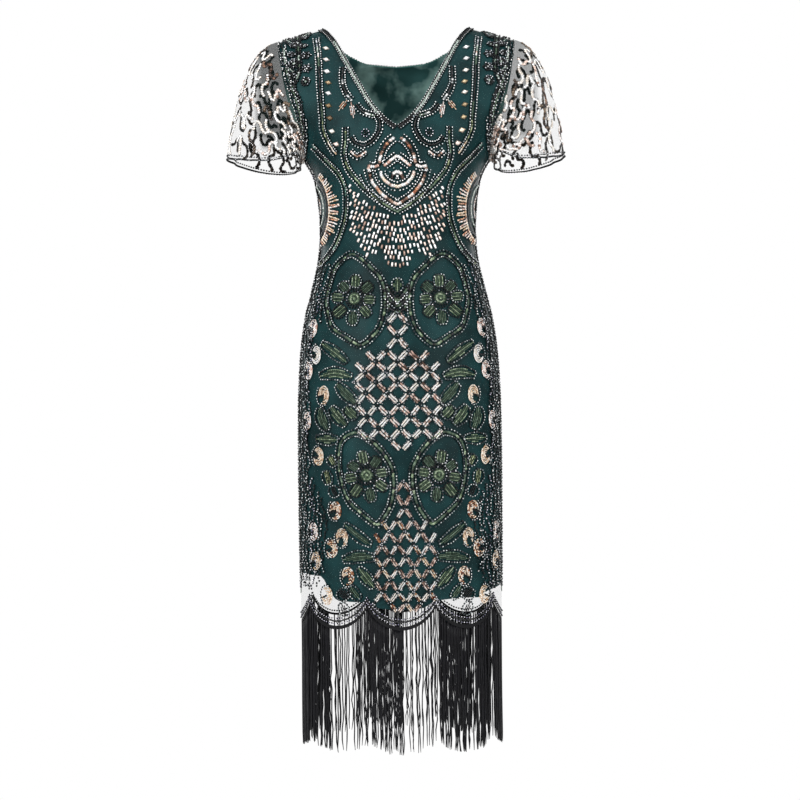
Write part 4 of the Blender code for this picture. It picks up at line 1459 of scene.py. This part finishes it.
# Under every second foil of a curl lies a larger dark one: a painted shadow round the curl, and partly its
# dark thread.
CURL_SHADOW_BACKING = (1.5, 1.28, 0.5)  # the size of dark foils under every second one of a curl
CUFF_ROWS = (0.968, 0.995)  # shares of the way down at which beads go right round a sleeve
CUFF_POINTS = 240  # round the sleeve


def on_sleeve(side, around, down):
    """The points of a sleeve at shares of the way round and down, and its normals there."""
    points, normals = grids[side]
    levels, columns = points.shape[:2]
    u = (np.asarray(around) % 1) * (columns - 1)
    v = np.clip(np.broadcast_to(down, u.shape), 0, 1) * (levels - 1)
    i, j = np.minimum(v.astype(int), levels - 2), np.minimum(u.astype(int), columns - 2)
    a, b = (v - i)[:, None], (u - j)[:, None]

    def mixed(grid):
        upper = grid[i, j] * (1 - b) + grid[i, j + 1] * b
        lower = grid[i + 1, j] * (1 - b) + grid[i + 1, j + 1] * b
        return upper * (1 - a) + lower * a

    return mixed(points), unit(mixed(normals))


def curl_path(bends, radius, heading, step=1.2):
    """A curl about its own middle, in millimetres, whose heading turns steadily round each bend."""
    turns = []
    for bend in bends:
        steps = max(2, round(abs(bend) * radius / step))
        turns += [bend / steps] * steps
    headings = heading + np.cumsum(turns)
    path = np.cumsum(np.stack((np.cos(headings), np.sin(headings)), axis=1) * step, axis=0)
    return path - path.mean(axis=0)


for side, word in SIDES.items():
    points, _ = grids[side]
    girth = np.linalg.norm(np.diff(points, axis=1), axis=2).sum(axis=1) / MM
    drop = np.linalg.norm(np.diff(points, axis=0), axis=2).sum(axis=0).mean() / MM
    rows = round((CURLED[1] - CURLED[0]) * drop / CURL_SPACING[1])
    for level in range(rows):
        middle = CURLED[0] + (CURLED[1] - CURLED[0]) * (level + 0.5) / rows
        round_mm = girth[int(middle * (len(girth) - 1))]
        columns = round(round_mm / CURL_SPACING[0])
        for column in range(columns):
            bends = CURL_BENDS[chance.integers(0, len(CURL_BENDS))]
            path = curl_path(bends, CURL_RADIUS * chance.uniform(*CURL_VARIETY), chance.uniform(0, tau))
            place = np.array(((column + level % 2 / 2) * round_mm / columns, middle * drop))
            across, down = (path + place + chance.uniform(-CURL_STRAY, CURL_STRAY, 2)).T
            thread = thread_of(*on_sleeve(side, across / round_mm, np.clip(down / drop, *CURLED)))
            spots, along, normals = stations(thread, 0, 1, CURL_PITCH)
            finish = CURL_FINISHES[chance.integers(0, len(CURL_FINISHES))]
            sew("sequin", f"sleeve_{word}", spots, along, normals, finish,
                size=CURL_SEQUIN, lean=0.14, spread=0.06, lift=0.5)
            # A larger dark foil under every second one paints the shadow round the curl.
            sew("sequin", f"sleeve_{word}", spots[::2], along[::2], normals[::2], "umber",
                size=CURL_SHADOW_BACKING, spread=0.02)
    for down in CUFF_ROWS:
        thread = thread_of(*on_sleeve(side, np.linspace(0, 1, CUFF_POINTS), down))
        spots, along, normals = stations(thread, 0, 1, BEAD_PITCH)
        sew("bead", f"sleeve_{word}", spots, along, normals, "smoke", size=0.8)
print("sequins on each sleeve:", sum(len(batch[0]) for batch in sewn["sequin", "sleeve_left"]))

# %% [markdown]
# ## Tapes at the neck, the cuffs and the hem
#
# Raw net would fray and stretch at an edge, so every edge has a narrow tape: a beaded band down
# both sides of the V, a satin binding behind the neck, a band round each cuff, and a braid under
# the scallops that carries the fringe. Each tape is a grid along its edge, given a thickness.

# %% Neck trims
NECK_TRIM_WIDTH = 8.0
BACK_BINDING_WIDTH = 6.0
TRIM_THICKNESS = 0.0012
TRIM_LIFT = 0.0009
NECK_STEPS = 80


def tape(name, lines, thickness, outwards=None):
    """A thin band between some lines of as many points each."""
    band = laid_grid(name, np.array(lines))
    if outwards is None:
        face_outwards(band)
    elif (triples(band.data.polygons, "normal") @ outwards).sum() < 0:
        band.data.flip_normals()
    return thickened(band, thickness)


def neck_line(toward, side, inside):
    """A thread that follows the neck edge, so many millimetres inside it."""
    rows = fine_rows[toward]
    heights = rows[:, 0, 2]
    yoke = BACK_YOKE if toward == BACK else FRONT_YOKE
    last = next(row.neck_z for row in yoke if row.neck_x == 0)
    edge = evenly(rows[heights >= last - 1e-6][:, 0], NECK_STEPS)
    _, normals = snapped(edge, toward)
    along = unit(np.gradient(edge, axis=0))
    inwards = unit(np.cross(normals, along)) * -toward
    points, normals = snapped(edge + inwards * inside * MM, toward)
    points[:, 0] = np.maximum(points[:, 0], SEAM_GAP / 2)
    return thread_of(points * (side, 1, 1), unit(normals) * (side, 1, 1))


def tape_line(toward, side, inside):
    thread = neck_line(toward, side, inside)
    return thread.points + thread.normals * TRIM_LIFT


neck_pieces = {}
for side, word in SIDES.items():
    lines = [tape_line(FRONT, side, inside) for inside in np.linspace(0, NECK_TRIM_WIDTH, 3)]
    neck_pieces[word] = tape(f"neck_tape_{word}", lines, TRIM_THICKNESS, outwards=(0, -1, 0))
lines = []
for inside in np.linspace(0, BACK_BINDING_WIDTH, 4):
    left, right = (tape_line(BACK, side, inside) for side in SIDES)
    lines.append(np.concatenate((left, right[::-1])))
neck_pieces["back"] = tape("neck_binding", lines, TRIM_THICKNESS, outwards=(0, 1, 0))

# How many millimetres inside the neck edge the rows lie, and how the sequins' rows are divided.
TRIM_BEADS, TRIM_SEQUINS, BINDING_BEADS = (0.6, 7.4), (3.2, 4.9), 0.3
TRIM_RUNS = (("jet", 0.0, 0.22), ("frost", 0.22, 0.86), ("jet", 0.86, 1.0))
for side, word in SIDES.items():
    for inside in TRIM_BEADS:
        beads(neck_line(FRONT, side, inside), FRONT, size=0.72, lift=1.0, stray=0.1)
    for inside in TRIM_SEQUINS:
        thread = neck_line(FRONT, side, inside)
        for finish, start, end in TRIM_RUNS:
            sequins(thread, FRONT, finish, start=start, end=end, size=0.36, lift=1.0)
    beads(neck_line(BACK, side, BINDING_BEADS), BACK, "jet", size=0.8, lift=1.0)
print("neck pieces:", [piece.name for piece in neck_pieces.values()])

# %% Cuffs
CUFF_BAND = 0.986  # the share of the way down a sleeve at which its band starts
CUFF_THICKNESS = 0.0010
CUFF_LIFT = 0.0006
cuffs = {}
for side, word in SIDES.items():
    rings = []
    for down in np.linspace(CUFF_BAND, 1.0, 3):
        points, normals = on_sleeve(side, np.linspace(0, 1, CUFF_POINTS + 1), down)
        rings.append(points + normals * CUFF_LIFT)
    band = laid_grid(f"cuff_{word}", np.array(rings))
    apply_modifier(band, "WELD", merge_threshold=SAME_PLACE)
    face_outwards(band, middle_x=SLEEVE_MIDDLE * side)
    cuffs[side] = thickened(band, CUFF_THICKNESS)
print("cuffs:", [cuff.name for cuff in cuffs.values()])

# %% [markdown]
# ## Braid and fringe
#
# The braid follows the scallops. From its lower edge hang hundreds of rayon cords, knotted in one
# by one. They hang straight, but they cling to each other in locks, so gaps open between the
# locks and widen towards the ends, and no two locks end at the same height.

# %% Braid
BRAID_WIDTH = {FRONT: 0.0056, BACK: 0.0036}
BRAID_THICKNESS = 0.0016
BRAID_GAP = 0.0004
BRAID_COLUMNS = 260


def scalloped_line(toward, rise, columns=BRAID_COLUMNS):
    """Points right across a panel, following its scalloped edge at a height above it."""
    edge = spaced_row(body_row(HEM, toward), FINE_STEPS)
    line = right_across(edge, np.linspace(-1, 1, columns + 1), rise)
    line[[0, -1], 1] = toward * SEAM_GAP / 2
    return line


braids = {}
for toward in BOTH_SIDES:
    lines = [scalloped_line(toward, -BRAID_GAP - BRAID_WIDTH[toward] * share) for share in (0, 0.33, 0.67, 1)]
    braids[toward] = tape(f"braid_{BODY_NAMES[toward]}", lines, BRAID_THICKNESS)
print("braid, in metres:", BRAID_WIDTH)

# %% Fringe
STRANDS = 220  # on each panel
FRINGE_STEPS = 2 * FINE_STEPS
CORD_RANGE = (0.004, 0.996)  # the part of a panel's width in which they hang
CORD_STRAY = 0.45  # of the distance between two
STRAND_WIDTH = 1.45 * MM
STRAND_SEGMENTS = 12
FRINGE_END = -1.124
FRINGE_END_DEPTH = 0.019
LOCK = 6.5 * MM  # the usual width of a lock of cords
LOCK_WIDTHS = (0.45, 1.7)  # times the usual width
LOCK_PULL = 0.55  # how far its cords close up towards its middle, as a share
LOCK_PULLS = (0.25, 1.0)  # times that
CRINKLE = 0.9 * MM  # of a cord, which doesn't hang quite straight
LOCK_SWAY, LOCK_LIFT, CORD_LIFT = 1.6 * MM, 3.0 * MM, 2.5 * MM  # how unevenly they hang and end
CORD_WAVE, CORD_WAVES = 0.7 * MM, (0.3, 1.0)  # how far it waves at the most, and times that
CORD_INSET = (0.6 * MM, 3.4 * MM)  # behind the front of the braid
CORD_TIP = 0.45  # the width of a cord's end beside its own
# How crowded the cords are: across as it is seen, as a share of the half width to the viewer's
# right, and how much of the width they fill there.
CROWDING = (
    (-1.000, 0.80), (-0.930, 0.80), (-0.925, 0.15), (-0.905, 0.15), (-0.900, 0.80), (-0.850, 0.80),
    (-0.845, 0.12), (-0.795, 0.12), (-0.790, 0.85), (-0.710, 0.85), (-0.700, 0.12), (-0.440, 0.13),
    (-0.430, 0.32), (-0.345, 0.34), (-0.335, 0.62), (-0.125, 0.64), (-0.115, 0.34), (-0.075, 0.34),
    (-0.065, 0.72), (0.015, 0.70), (0.025, 0.20), (0.355, 0.22), (0.365, 0.52), (0.665, 0.55),
    (0.675, 0.14), (0.720, 0.14), (0.730, 0.70), (0.830, 0.70), (0.840, 0.18), (0.915, 0.18),
    (0.925, 0.85), (1.000, 0.85),
)
# The back panel is farther off, so its crowded places are wider for its gaps to fall behind the others.
FARTHER = {FRONT: 1.0, BACK: 1.08}


def crowded_order(line, toward):
    """Places of the cords, as shares of the way along a line across a panel from the viewer's left."""
    share = np.linspace(0, 1, len(line))
    places, densities = zip(*CROWDING)
    seen = np.clip(np.array(places) * FARTHER[toward], -1, 1) * line[-1, 0]
    filled = np.cumsum(np.interp(line[:, 0], seen, densities))
    filled = (filled - filled[0]) / (filled[-1] - filled[0])
    strays = chance.uniform(-CORD_STRAY, CORD_STRAY, STRANDS)
    steps = (np.arange(STRANDS) + 0.5 + strays) / STRANDS
    return np.interp(steps, filled, share)


def many_parts(name, points, faces):
    """A piece of many equal parts, from the points of each part and the corners of one part's faces."""
    count, each = points.shape[:2]
    corners = np.concatenate(faces)
    starts = np.concatenate(([0], np.cumsum([len(face) for face in faces])[:-1]))
    all_corners = (corners[None] + np.arange(count)[:, None] * each).ravel()
    all_starts = (starts[None] + np.arange(count)[:, None] * len(corners)).ravel()
    mesh = bpy.data.meshes.new(name)
    mesh.vertices.add(count * each)
    mesh.loops.add(len(all_corners))
    mesh.polygons.add(len(all_starts))
    mesh.vertices.foreach_set("co", points.astype(np.float32).ravel())
    mesh.loops.foreach_set("vertex_index", all_corners.astype(np.int32))
    mesh.polygons.foreach_set("loop_start", all_starts.astype(np.int32))
    mesh.update(calc_edges=True)
    piece = bpy.data.objects.new(mesh.name, mesh)
    scene.collection.objects.link(piece)
    return piece


def fringe_mesh(toward):
    """Square cords hung from the braid, drawn together in locks."""
    line = scalloped_line(toward, -BRAID_GAP - BRAID_WIDTH[toward], FRINGE_STEPS)
    order = np.clip(crowded_order(line, toward), *CORD_RANGE)
    share = np.linspace(0, 1, FRINGE_STEPS + 1)
    top = blended(order, share, line)
    end_z = FRINGE_END - scallop_drop(np.abs(2 * order - 1), FRINGE_END_DEPTH)
    arc = lengths_along(line[:, :2])
    place = np.interp(order, share, arc)
    edges = [0.0]
    while edges[-1] < arc[-1]:
        edges.append(edges[-1] + LOCK * chance.uniform(*LOCK_WIDTHS))
    lock = np.digitize(place, edges) - 1
    middles = (np.array(edges[:-1]) + np.array(edges[1:])) / 2
    lock = np.minimum(lock, len(middles) - 1)
    pull = chance.uniform(*LOCK_PULLS, len(middles))[lock] * LOCK_PULL
    sway = chance.normal(0, LOCK_SWAY, len(middles))[lock]
    lift = np.abs(chance.normal(0, LOCK_LIFT, len(middles)))[lock]
    lift += np.abs(chance.normal(0, CORD_LIFT, STRANDS))
    tangent = blended(order, share, np.gradient(line[:, :2], arc, axis=0))
    tangent = np.concatenate((unit(tangent), np.zeros((STRANDS, 1))), axis=1)
    outward = np.cross(tangent, (0, 0, 1.0)) * -toward
    outward *= np.sign(outward[:, 0] * top[:, 0] + outward[:, 1] * top[:, 1])[:, None]
    waves = chance.uniform(0, tau, (2, STRANDS))
    reach = chance.uniform(*CORD_WAVES, (2, STRANDS)) * CORD_WAVE
    inset = chance.uniform(*CORD_INSET, STRANDS)
    rings = []
    for level in np.linspace(0, 1, STRAND_SEGMENTS + 1):
        shift = (middles[lock] - place) * pull * level**0.8 + sway * level
        shift += reach[0] * np.sin(waves[0] + 5 * level) * level
        shift += chance.normal(0, CRINKLE, STRANDS) * min(1.0, 3 * level)
        depth = -inset + reach[1] * np.sin(waves[1] + 4 * level) * level
        centre = top + tangent * shift[:, None] + outward * depth[:, None]
        centre[:, 2] = top[:, 2] + (end_z + lift - top[:, 2]) * level
        width = STRAND_WIDTH * (1.0 if level < 1 else CORD_TIP)
        for a, b in ((-1, -1), (1, -1), (1, 1), (-1, 1)):
            rings.append(centre + tangent * a * width / 2 + outward * b * width / 2)
    points = np.array(rings).transpose(1, 0, 2)
    each = points.shape[1]
    faces = [(3, 2, 1, 0), tuple(range(each - 4, each))]
    for level in range(STRAND_SEGMENTS):
        base = level * 4
        faces += [(base + k, base + (k + 1) % 4, base + 4 + (k + 1) % 4, base + 4 + k) for k in range(4)]
    piece = many_parts(f"fringe_{BODY_NAMES[toward]}", points, faces)
    in_edit_mode(piece, bpy.ops.mesh.normals_make_consistent, inside=False)
    return piece


fringes = {toward: fringe_mesh(toward) for toward in BOTH_SIDES}
print(STRANDS * 2, "cords of fringe")

# %% [markdown]
# ## Joining the small pieces
#
# Each kind on each panel becomes one mesh, worked out with arrays: every copy is the model turned
# by its own three directions. The colour goes with each corner of each face, so the painted
# highlight on a bead's top stays sharp against its dark sides.

# %% Joined meshes
PIECE_NAMES = {"bead": "beads", "sequin": "sequins", "bugle": "bugle_beads", "drop": "drops"}
# The underside of every piece, which faces the cloth, is darkened as painted shade.
BENEATH = 0.3  # how bright the underside of a piece is beside its face


def joined(kind, panel, batches):
    points, along, across, up, colours, sizes = (np.concatenate(parts) for parts in zip(*batches))
    model = models[kind]
    shape = model.points[None] * sizes[:, None, :]
    placed = points[:, None] + sum(
        shape[:, :, k, None] * way[:, None] for k, way in enumerate((along, across, up))
    )
    piece = many_parts(f"{PIECE_NAMES[kind]}_{panel}", placed, model.faces)
    on_top, beneath = (
        np.concatenate([np.full(len(face), mark) for face, mark in zip(model.faces, marks)])
        for marks in (model.tops, model.bases)
    )
    # A bead's top takes its finish as a painted highlight on dark glass; a sequin's sides take the foil, and
    # its top is the dark thread hole.
    bright = on_top if kind == "bead" else ~on_top
    other = GLASS if kind == "bead" else THREAD_HOLE
    if kind in ("bugle", "drop"):
        bright = np.ones_like(bright)
    tint = np.where(bright[None, :, None], colours[:, None], other)
    # Painted shade on the undersides.
    tint = np.where(beneath[None, :, None], tint * BENEATH, tint)
    tint = np.concatenate((tint, np.ones((*tint.shape[:2], 1))), axis=2)
    colour = piece.data.attributes.new("tint", "FLOAT_COLOR", "CORNER")
    colour.data.foreach_set("color", tint.astype(np.float32).ravel())
    return piece


small_pieces = {key: joined(*key, batches) for key, batches in sewn.items()}


def triangles(piece):
    return sum(len(face.vertices) - 2 for face in piece.data.polygons)


print({piece.name: triangles(piece) for piece in small_pieces.values()})

# %% Finish the sheets
for sheets, wall in ((nets, NET_WALL), (slips, SLIP_WALL), (sleeves, SLEEVE_WALL)):
    for sheet in sheets.values():
        thickened(sheet, wall)

# %% [markdown]
# ## Finishes
#
# The cloths read the UV map of cloth millimetres, so their weaves keep their scale round every
# curve. The small pieces read the tint that each face carries.

# %% Parts of a material
def cloth_place(tree):
    """The cloth's own millimetres."""
    return add_node(tree, "ShaderNodeUVMap", uv_map="UVMap").outputs["UV"]


def dye_and_sheen(tree, shader, pattern, dark, light):
    """Colours a material between two shades, as a pattern goes from 0 to 1: a pattern in the cloth, and on
    the satin and the cords partly a painted sheen.
    """
    shares = {0: pattern, 6: (*linear(dark), 1), 7: (*linear(light), 1)}
    shade = add_node(tree, "ShaderNodeMix", shares, data_type="RGBA")
    tree.links.new(shade.outputs[2], shader.inputs["Base Color"])


def raised(tree, shader, pattern, strength, height):
    """Lifts a material's surface where a pattern is high, by a height in metres."""
    bump = add_node(tree, "ShaderNodeBump", {"Strength": strength, "Distance": height, "Height": pattern})
    tree.links.new(bump.outputs[0], shader.inputs["Normal"])


def wear(piece, material):
    piece.data.materials.clear()
    piece.data.materials.append(material)


# %% Net
# Nylon tulle: hexagonal holes between fine dark threads. It has no shine of its own, and what
# lies behind it shows through. The holes are drawn 2.6 mm wide, though the real ones are 1 mm,
# because finer ones would not show.
NET_HOLE = 2.6
NET_THREAD = linear("0b1716")
THREAD_EDGES = (0.02, 0.12)  # how far from a thread's middle it ends, softly, as a share of a hole


def net_material(name, open_alpha, thread_alpha):
    look = {"Base_Color": (*NET_THREAD, 1), "Roughness": 0.8, "Specular_IOR_Level": 0.1}
    material, tree, shader = new_material(name, **look)
    cells = add_node(
        tree, "ShaderNodeTexVoronoi", {"Vector": cloth_place(tree), "Scale": 1 / NET_HOLE, "Randomness": 0.3},
        voronoi_dimensions="2D", feature="DISTANCE_TO_EDGE",
    )
    # The sleeve net near the armholes is made more opaque: its real fullness, and painted shade.
    gather_and_shade = add_node(tree, "ShaderNodeAttribute", attribute_name="gather_and_shade")
    mesh_alpha = add_node(
        tree, "ShaderNodeMapRange",
        {"Value": cells.outputs["Distance"], "From Min": THREAD_EDGES[0], "From Max": THREAD_EDGES[1],
         "To Min": thread_alpha, "To Max": open_alpha},
    )
    parts = {0: mesh_alpha.outputs[0], 1: gather_and_shade.outputs["Fac"]}
    both = add_node(tree, "ShaderNodeMath", parts, operation="ADD")
    tree.links.new(both.outputs[0], shader.inputs["Alpha"])
    return material


body_net = net_material("black nylon tulle", 0.04, 0.08)
sleeve_net = net_material("sleeve tulle", 0.01, 0.09)

# %% Slip
# Polyester satin: a smooth green with a soft sheen along the folds, and a weave too fine to see
# except as a slight grain. Its wrong side, which shows inside the neck, is duller and paler, and
# carries pale patches of painted sheen.
SATIN_GRAIN = 0.8  # millimetres between ribs, drawn coarser than the real 0.15


def satin_material(name, dark, light, roughness, cloud=18.0, reach=(0.35, 0.65)):
    material, tree, shader = new_material(name, Roughness=roughness, Specular_IOR_Level=0.12)
    place = cloth_place(tree)
    whole = add_node(tree, "ShaderNodeTexCoord").outputs["Object"]
    # Patches between the two shades: a faint uneven tone, and painted sheen where the shades lie far apart,
    # as on the wrong side.
    clouds = add_node(tree, "ShaderNodeTexNoise", {"Vector": whole, "Scale": cloud, "Detail": 3.0})
    spread = {"Value": clouds.outputs["Fac"], "From Min": reach[0], "From Max": reach[1]}
    uneven = add_node(tree, "ShaderNodeMapRange", spread)
    dye_and_sheen(tree, shader, uneven.outputs[0], dark, light)
    weave = {"Vector": place, "Scale": 1 / SATIN_GRAIN, "Distortion": 0.4}
    ribs = add_node(tree, "ShaderNodeTexWave", weave).outputs["Fac"]
    raised(tree, shader, ribs, 0.04, 0.0001)
    return material


satin = satin_material("green polyester satin", "0a2426", "14393b", 0.5)
satin_inside = satin_material("wrong side of the satin", "234544", "7b9c96", 0.7, 26.0, (0.42, 0.63))


def two_sided(sheet, outside, inside):
    """Gives the faces of a thickened sheet that look in, at the dress's own middle line, another material."""
    wear(sheet, outside)
    sheet.data.materials.append(inside)
    sheet.data.polygons.foreach_set("material_index", (outward_looks(sheet) < 0).astype(np.int32))


# %% Beads, foils and tubes
# Glass seed beads: hard and shiny, dark all round, with a painted highlight: the top of each is
# coloured bright.
def tinted(name, **settings):
    material, tree, shader = new_material(name, **settings)
    tint = add_node(tree, "ShaderNodeAttribute", attribute_name="tint")
    tree.links.new(tint.outputs["Color"], shader.inputs["Base Color"])
    return material


bead_glass = tinted("glass with painted highlight", Roughness=0.35, IOR=1.35, Coat_Weight=0.1, Coat_Roughness=0.2)
# Metallised polyester foil: a mirror with a slight grain from pressing, so it flashes and goes dull.
foil = tinted("pressed foil", Roughness=0.3, Metallic=0.35, Coat_Weight=0.3, Coat_Roughness=0.15)
# Bugle glass with a metallic lining: a bright streak along each tube.
tube_glass = tinted("lined bugle glass", Roughness=0.25, Metallic=0.15, Coat_Weight=0.5, Coat_Roughness=0.1)

# %% Tapes and fringe
# Braided black viscose: matt, with a small herringbone.
BRAID_RIB = 1.6
braid_thread, tree, shader = new_material("black viscose braid", Roughness=0.75, Specular_IOR_Level=0.2)
place = cloth_place(tree)
ribs = add_node(
    tree, "ShaderNodeTexWave", {"Vector": place, "Scale": 1 / BRAID_RIB / 3, "Distortion": 2.0},
    bands_direction="DIAGONAL",
)
dye_and_sheen(tree, shader, ribs.outputs["Fac"], "070708", "131417")
raised(tree, shader, ribs.outputs["Fac"], 0.5, 0.0004)

# Rayon cord: black, with a dull silky light down each cord.
CORD_TWIST = 2.2
rayon, tree, shader = new_material("black rayon cord", Roughness=0.45, Specular_IOR_Level=0.2)
place = add_node(tree, "ShaderNodeTexCoord").outputs["Object"]
# Some cords are coloured a little greyer than others: painted reflection, and partly uneven tone.
locks = add_node(tree, "ShaderNodeTexNoise", {"Vector": place, "Scale": 60.0, "Detail": 2.0})
dye_and_sheen(tree, shader, locks.outputs["Fac"], "070709", "15151a")
turns = {"Vector": place, "Scale": 1 / (CORD_TWIST * MM) / 20}
twist = add_node(tree, "ShaderNodeTexWave", turns, bands_direction="Z")
raised(tree, shader, twist.outputs["Fac"], 0.3, 0.0003)

# Satin bias binding: the slip's satin, cut across the grain and folded, so a little lighter.
binding, tree, shader = new_material("satin binding", Roughness=0.5, Specular_IOR_Level=0.25)
place = cloth_place(tree)
ribs = add_node(tree, "ShaderNodeTexNoise", {"Vector": place, "Scale": 0.2, "Detail": 2.0})
dye_and_sheen(tree, shader, ribs.outputs["Fac"], "24564f", "377a70")

KIND_MATERIALS = {"bead": bead_glass, "sequin": foil, "bugle": tube_glass, "drop": foil}
for (kind, panel), piece in small_pieces.items():
    wear(piece, KIND_MATERIALS[kind])
for pieces, material in ((nets, body_net), (sleeves, sleeve_net), (fringes, rayon)):
    for piece in pieces.values():
        wear(piece, material)
for sheet in slips.values():
    two_sided(sheet, satin, satin_inside)
for band in (*cuffs.values(), *braids.values(), neck_pieces["left"], neck_pieces["right"]):
    wear(band, braid_thread)
wear(neck_pieces["back"], binding)
print(len(bpy.data.materials), "materials")

# %% [markdown]
# ## Fastening to the frame
#
# Nothing on the dress moves by itself, so every piece rides on the one body, and each CAD wall is
# replaced by the cloth or trim that stands for it.

# %% Rides and walls replaced
for piece in (*nets.values(), *slips.values(), *sleeves.values(), *cuffs.values(), *braids.values(),
              *neck_pieces.values(), *fringes.values(), *small_pieces.values()):
    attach(piece, "root")
STANDS_FOR = (
    (nets[FRONT], "front_net"), (nets[BACK], "back_net"),
    (slips[FRONT], "front_lining"), (slips[BACK], "back_lining"),
    (sleeves[1], "left_sleeve"), (sleeves[-1], "right_sleeve"),
    (cuffs[1], "left_cuff_band"), (cuffs[-1], "right_cuff_band"),
    (neck_pieces["left"], "left_neck_trim"), (neck_pieces["right"], "right_neck_trim"),
    (neck_pieces["back"], "back_neck_binding"),
    (braids[FRONT], "front_fringe_braid"), (braids[BACK], "back_fringe_braid"),
    (fringes[FRONT], "front_fringe"), (fringes[BACK], "back_fringe"),
)
for piece, node in STANDS_FOR:
    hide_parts(node)
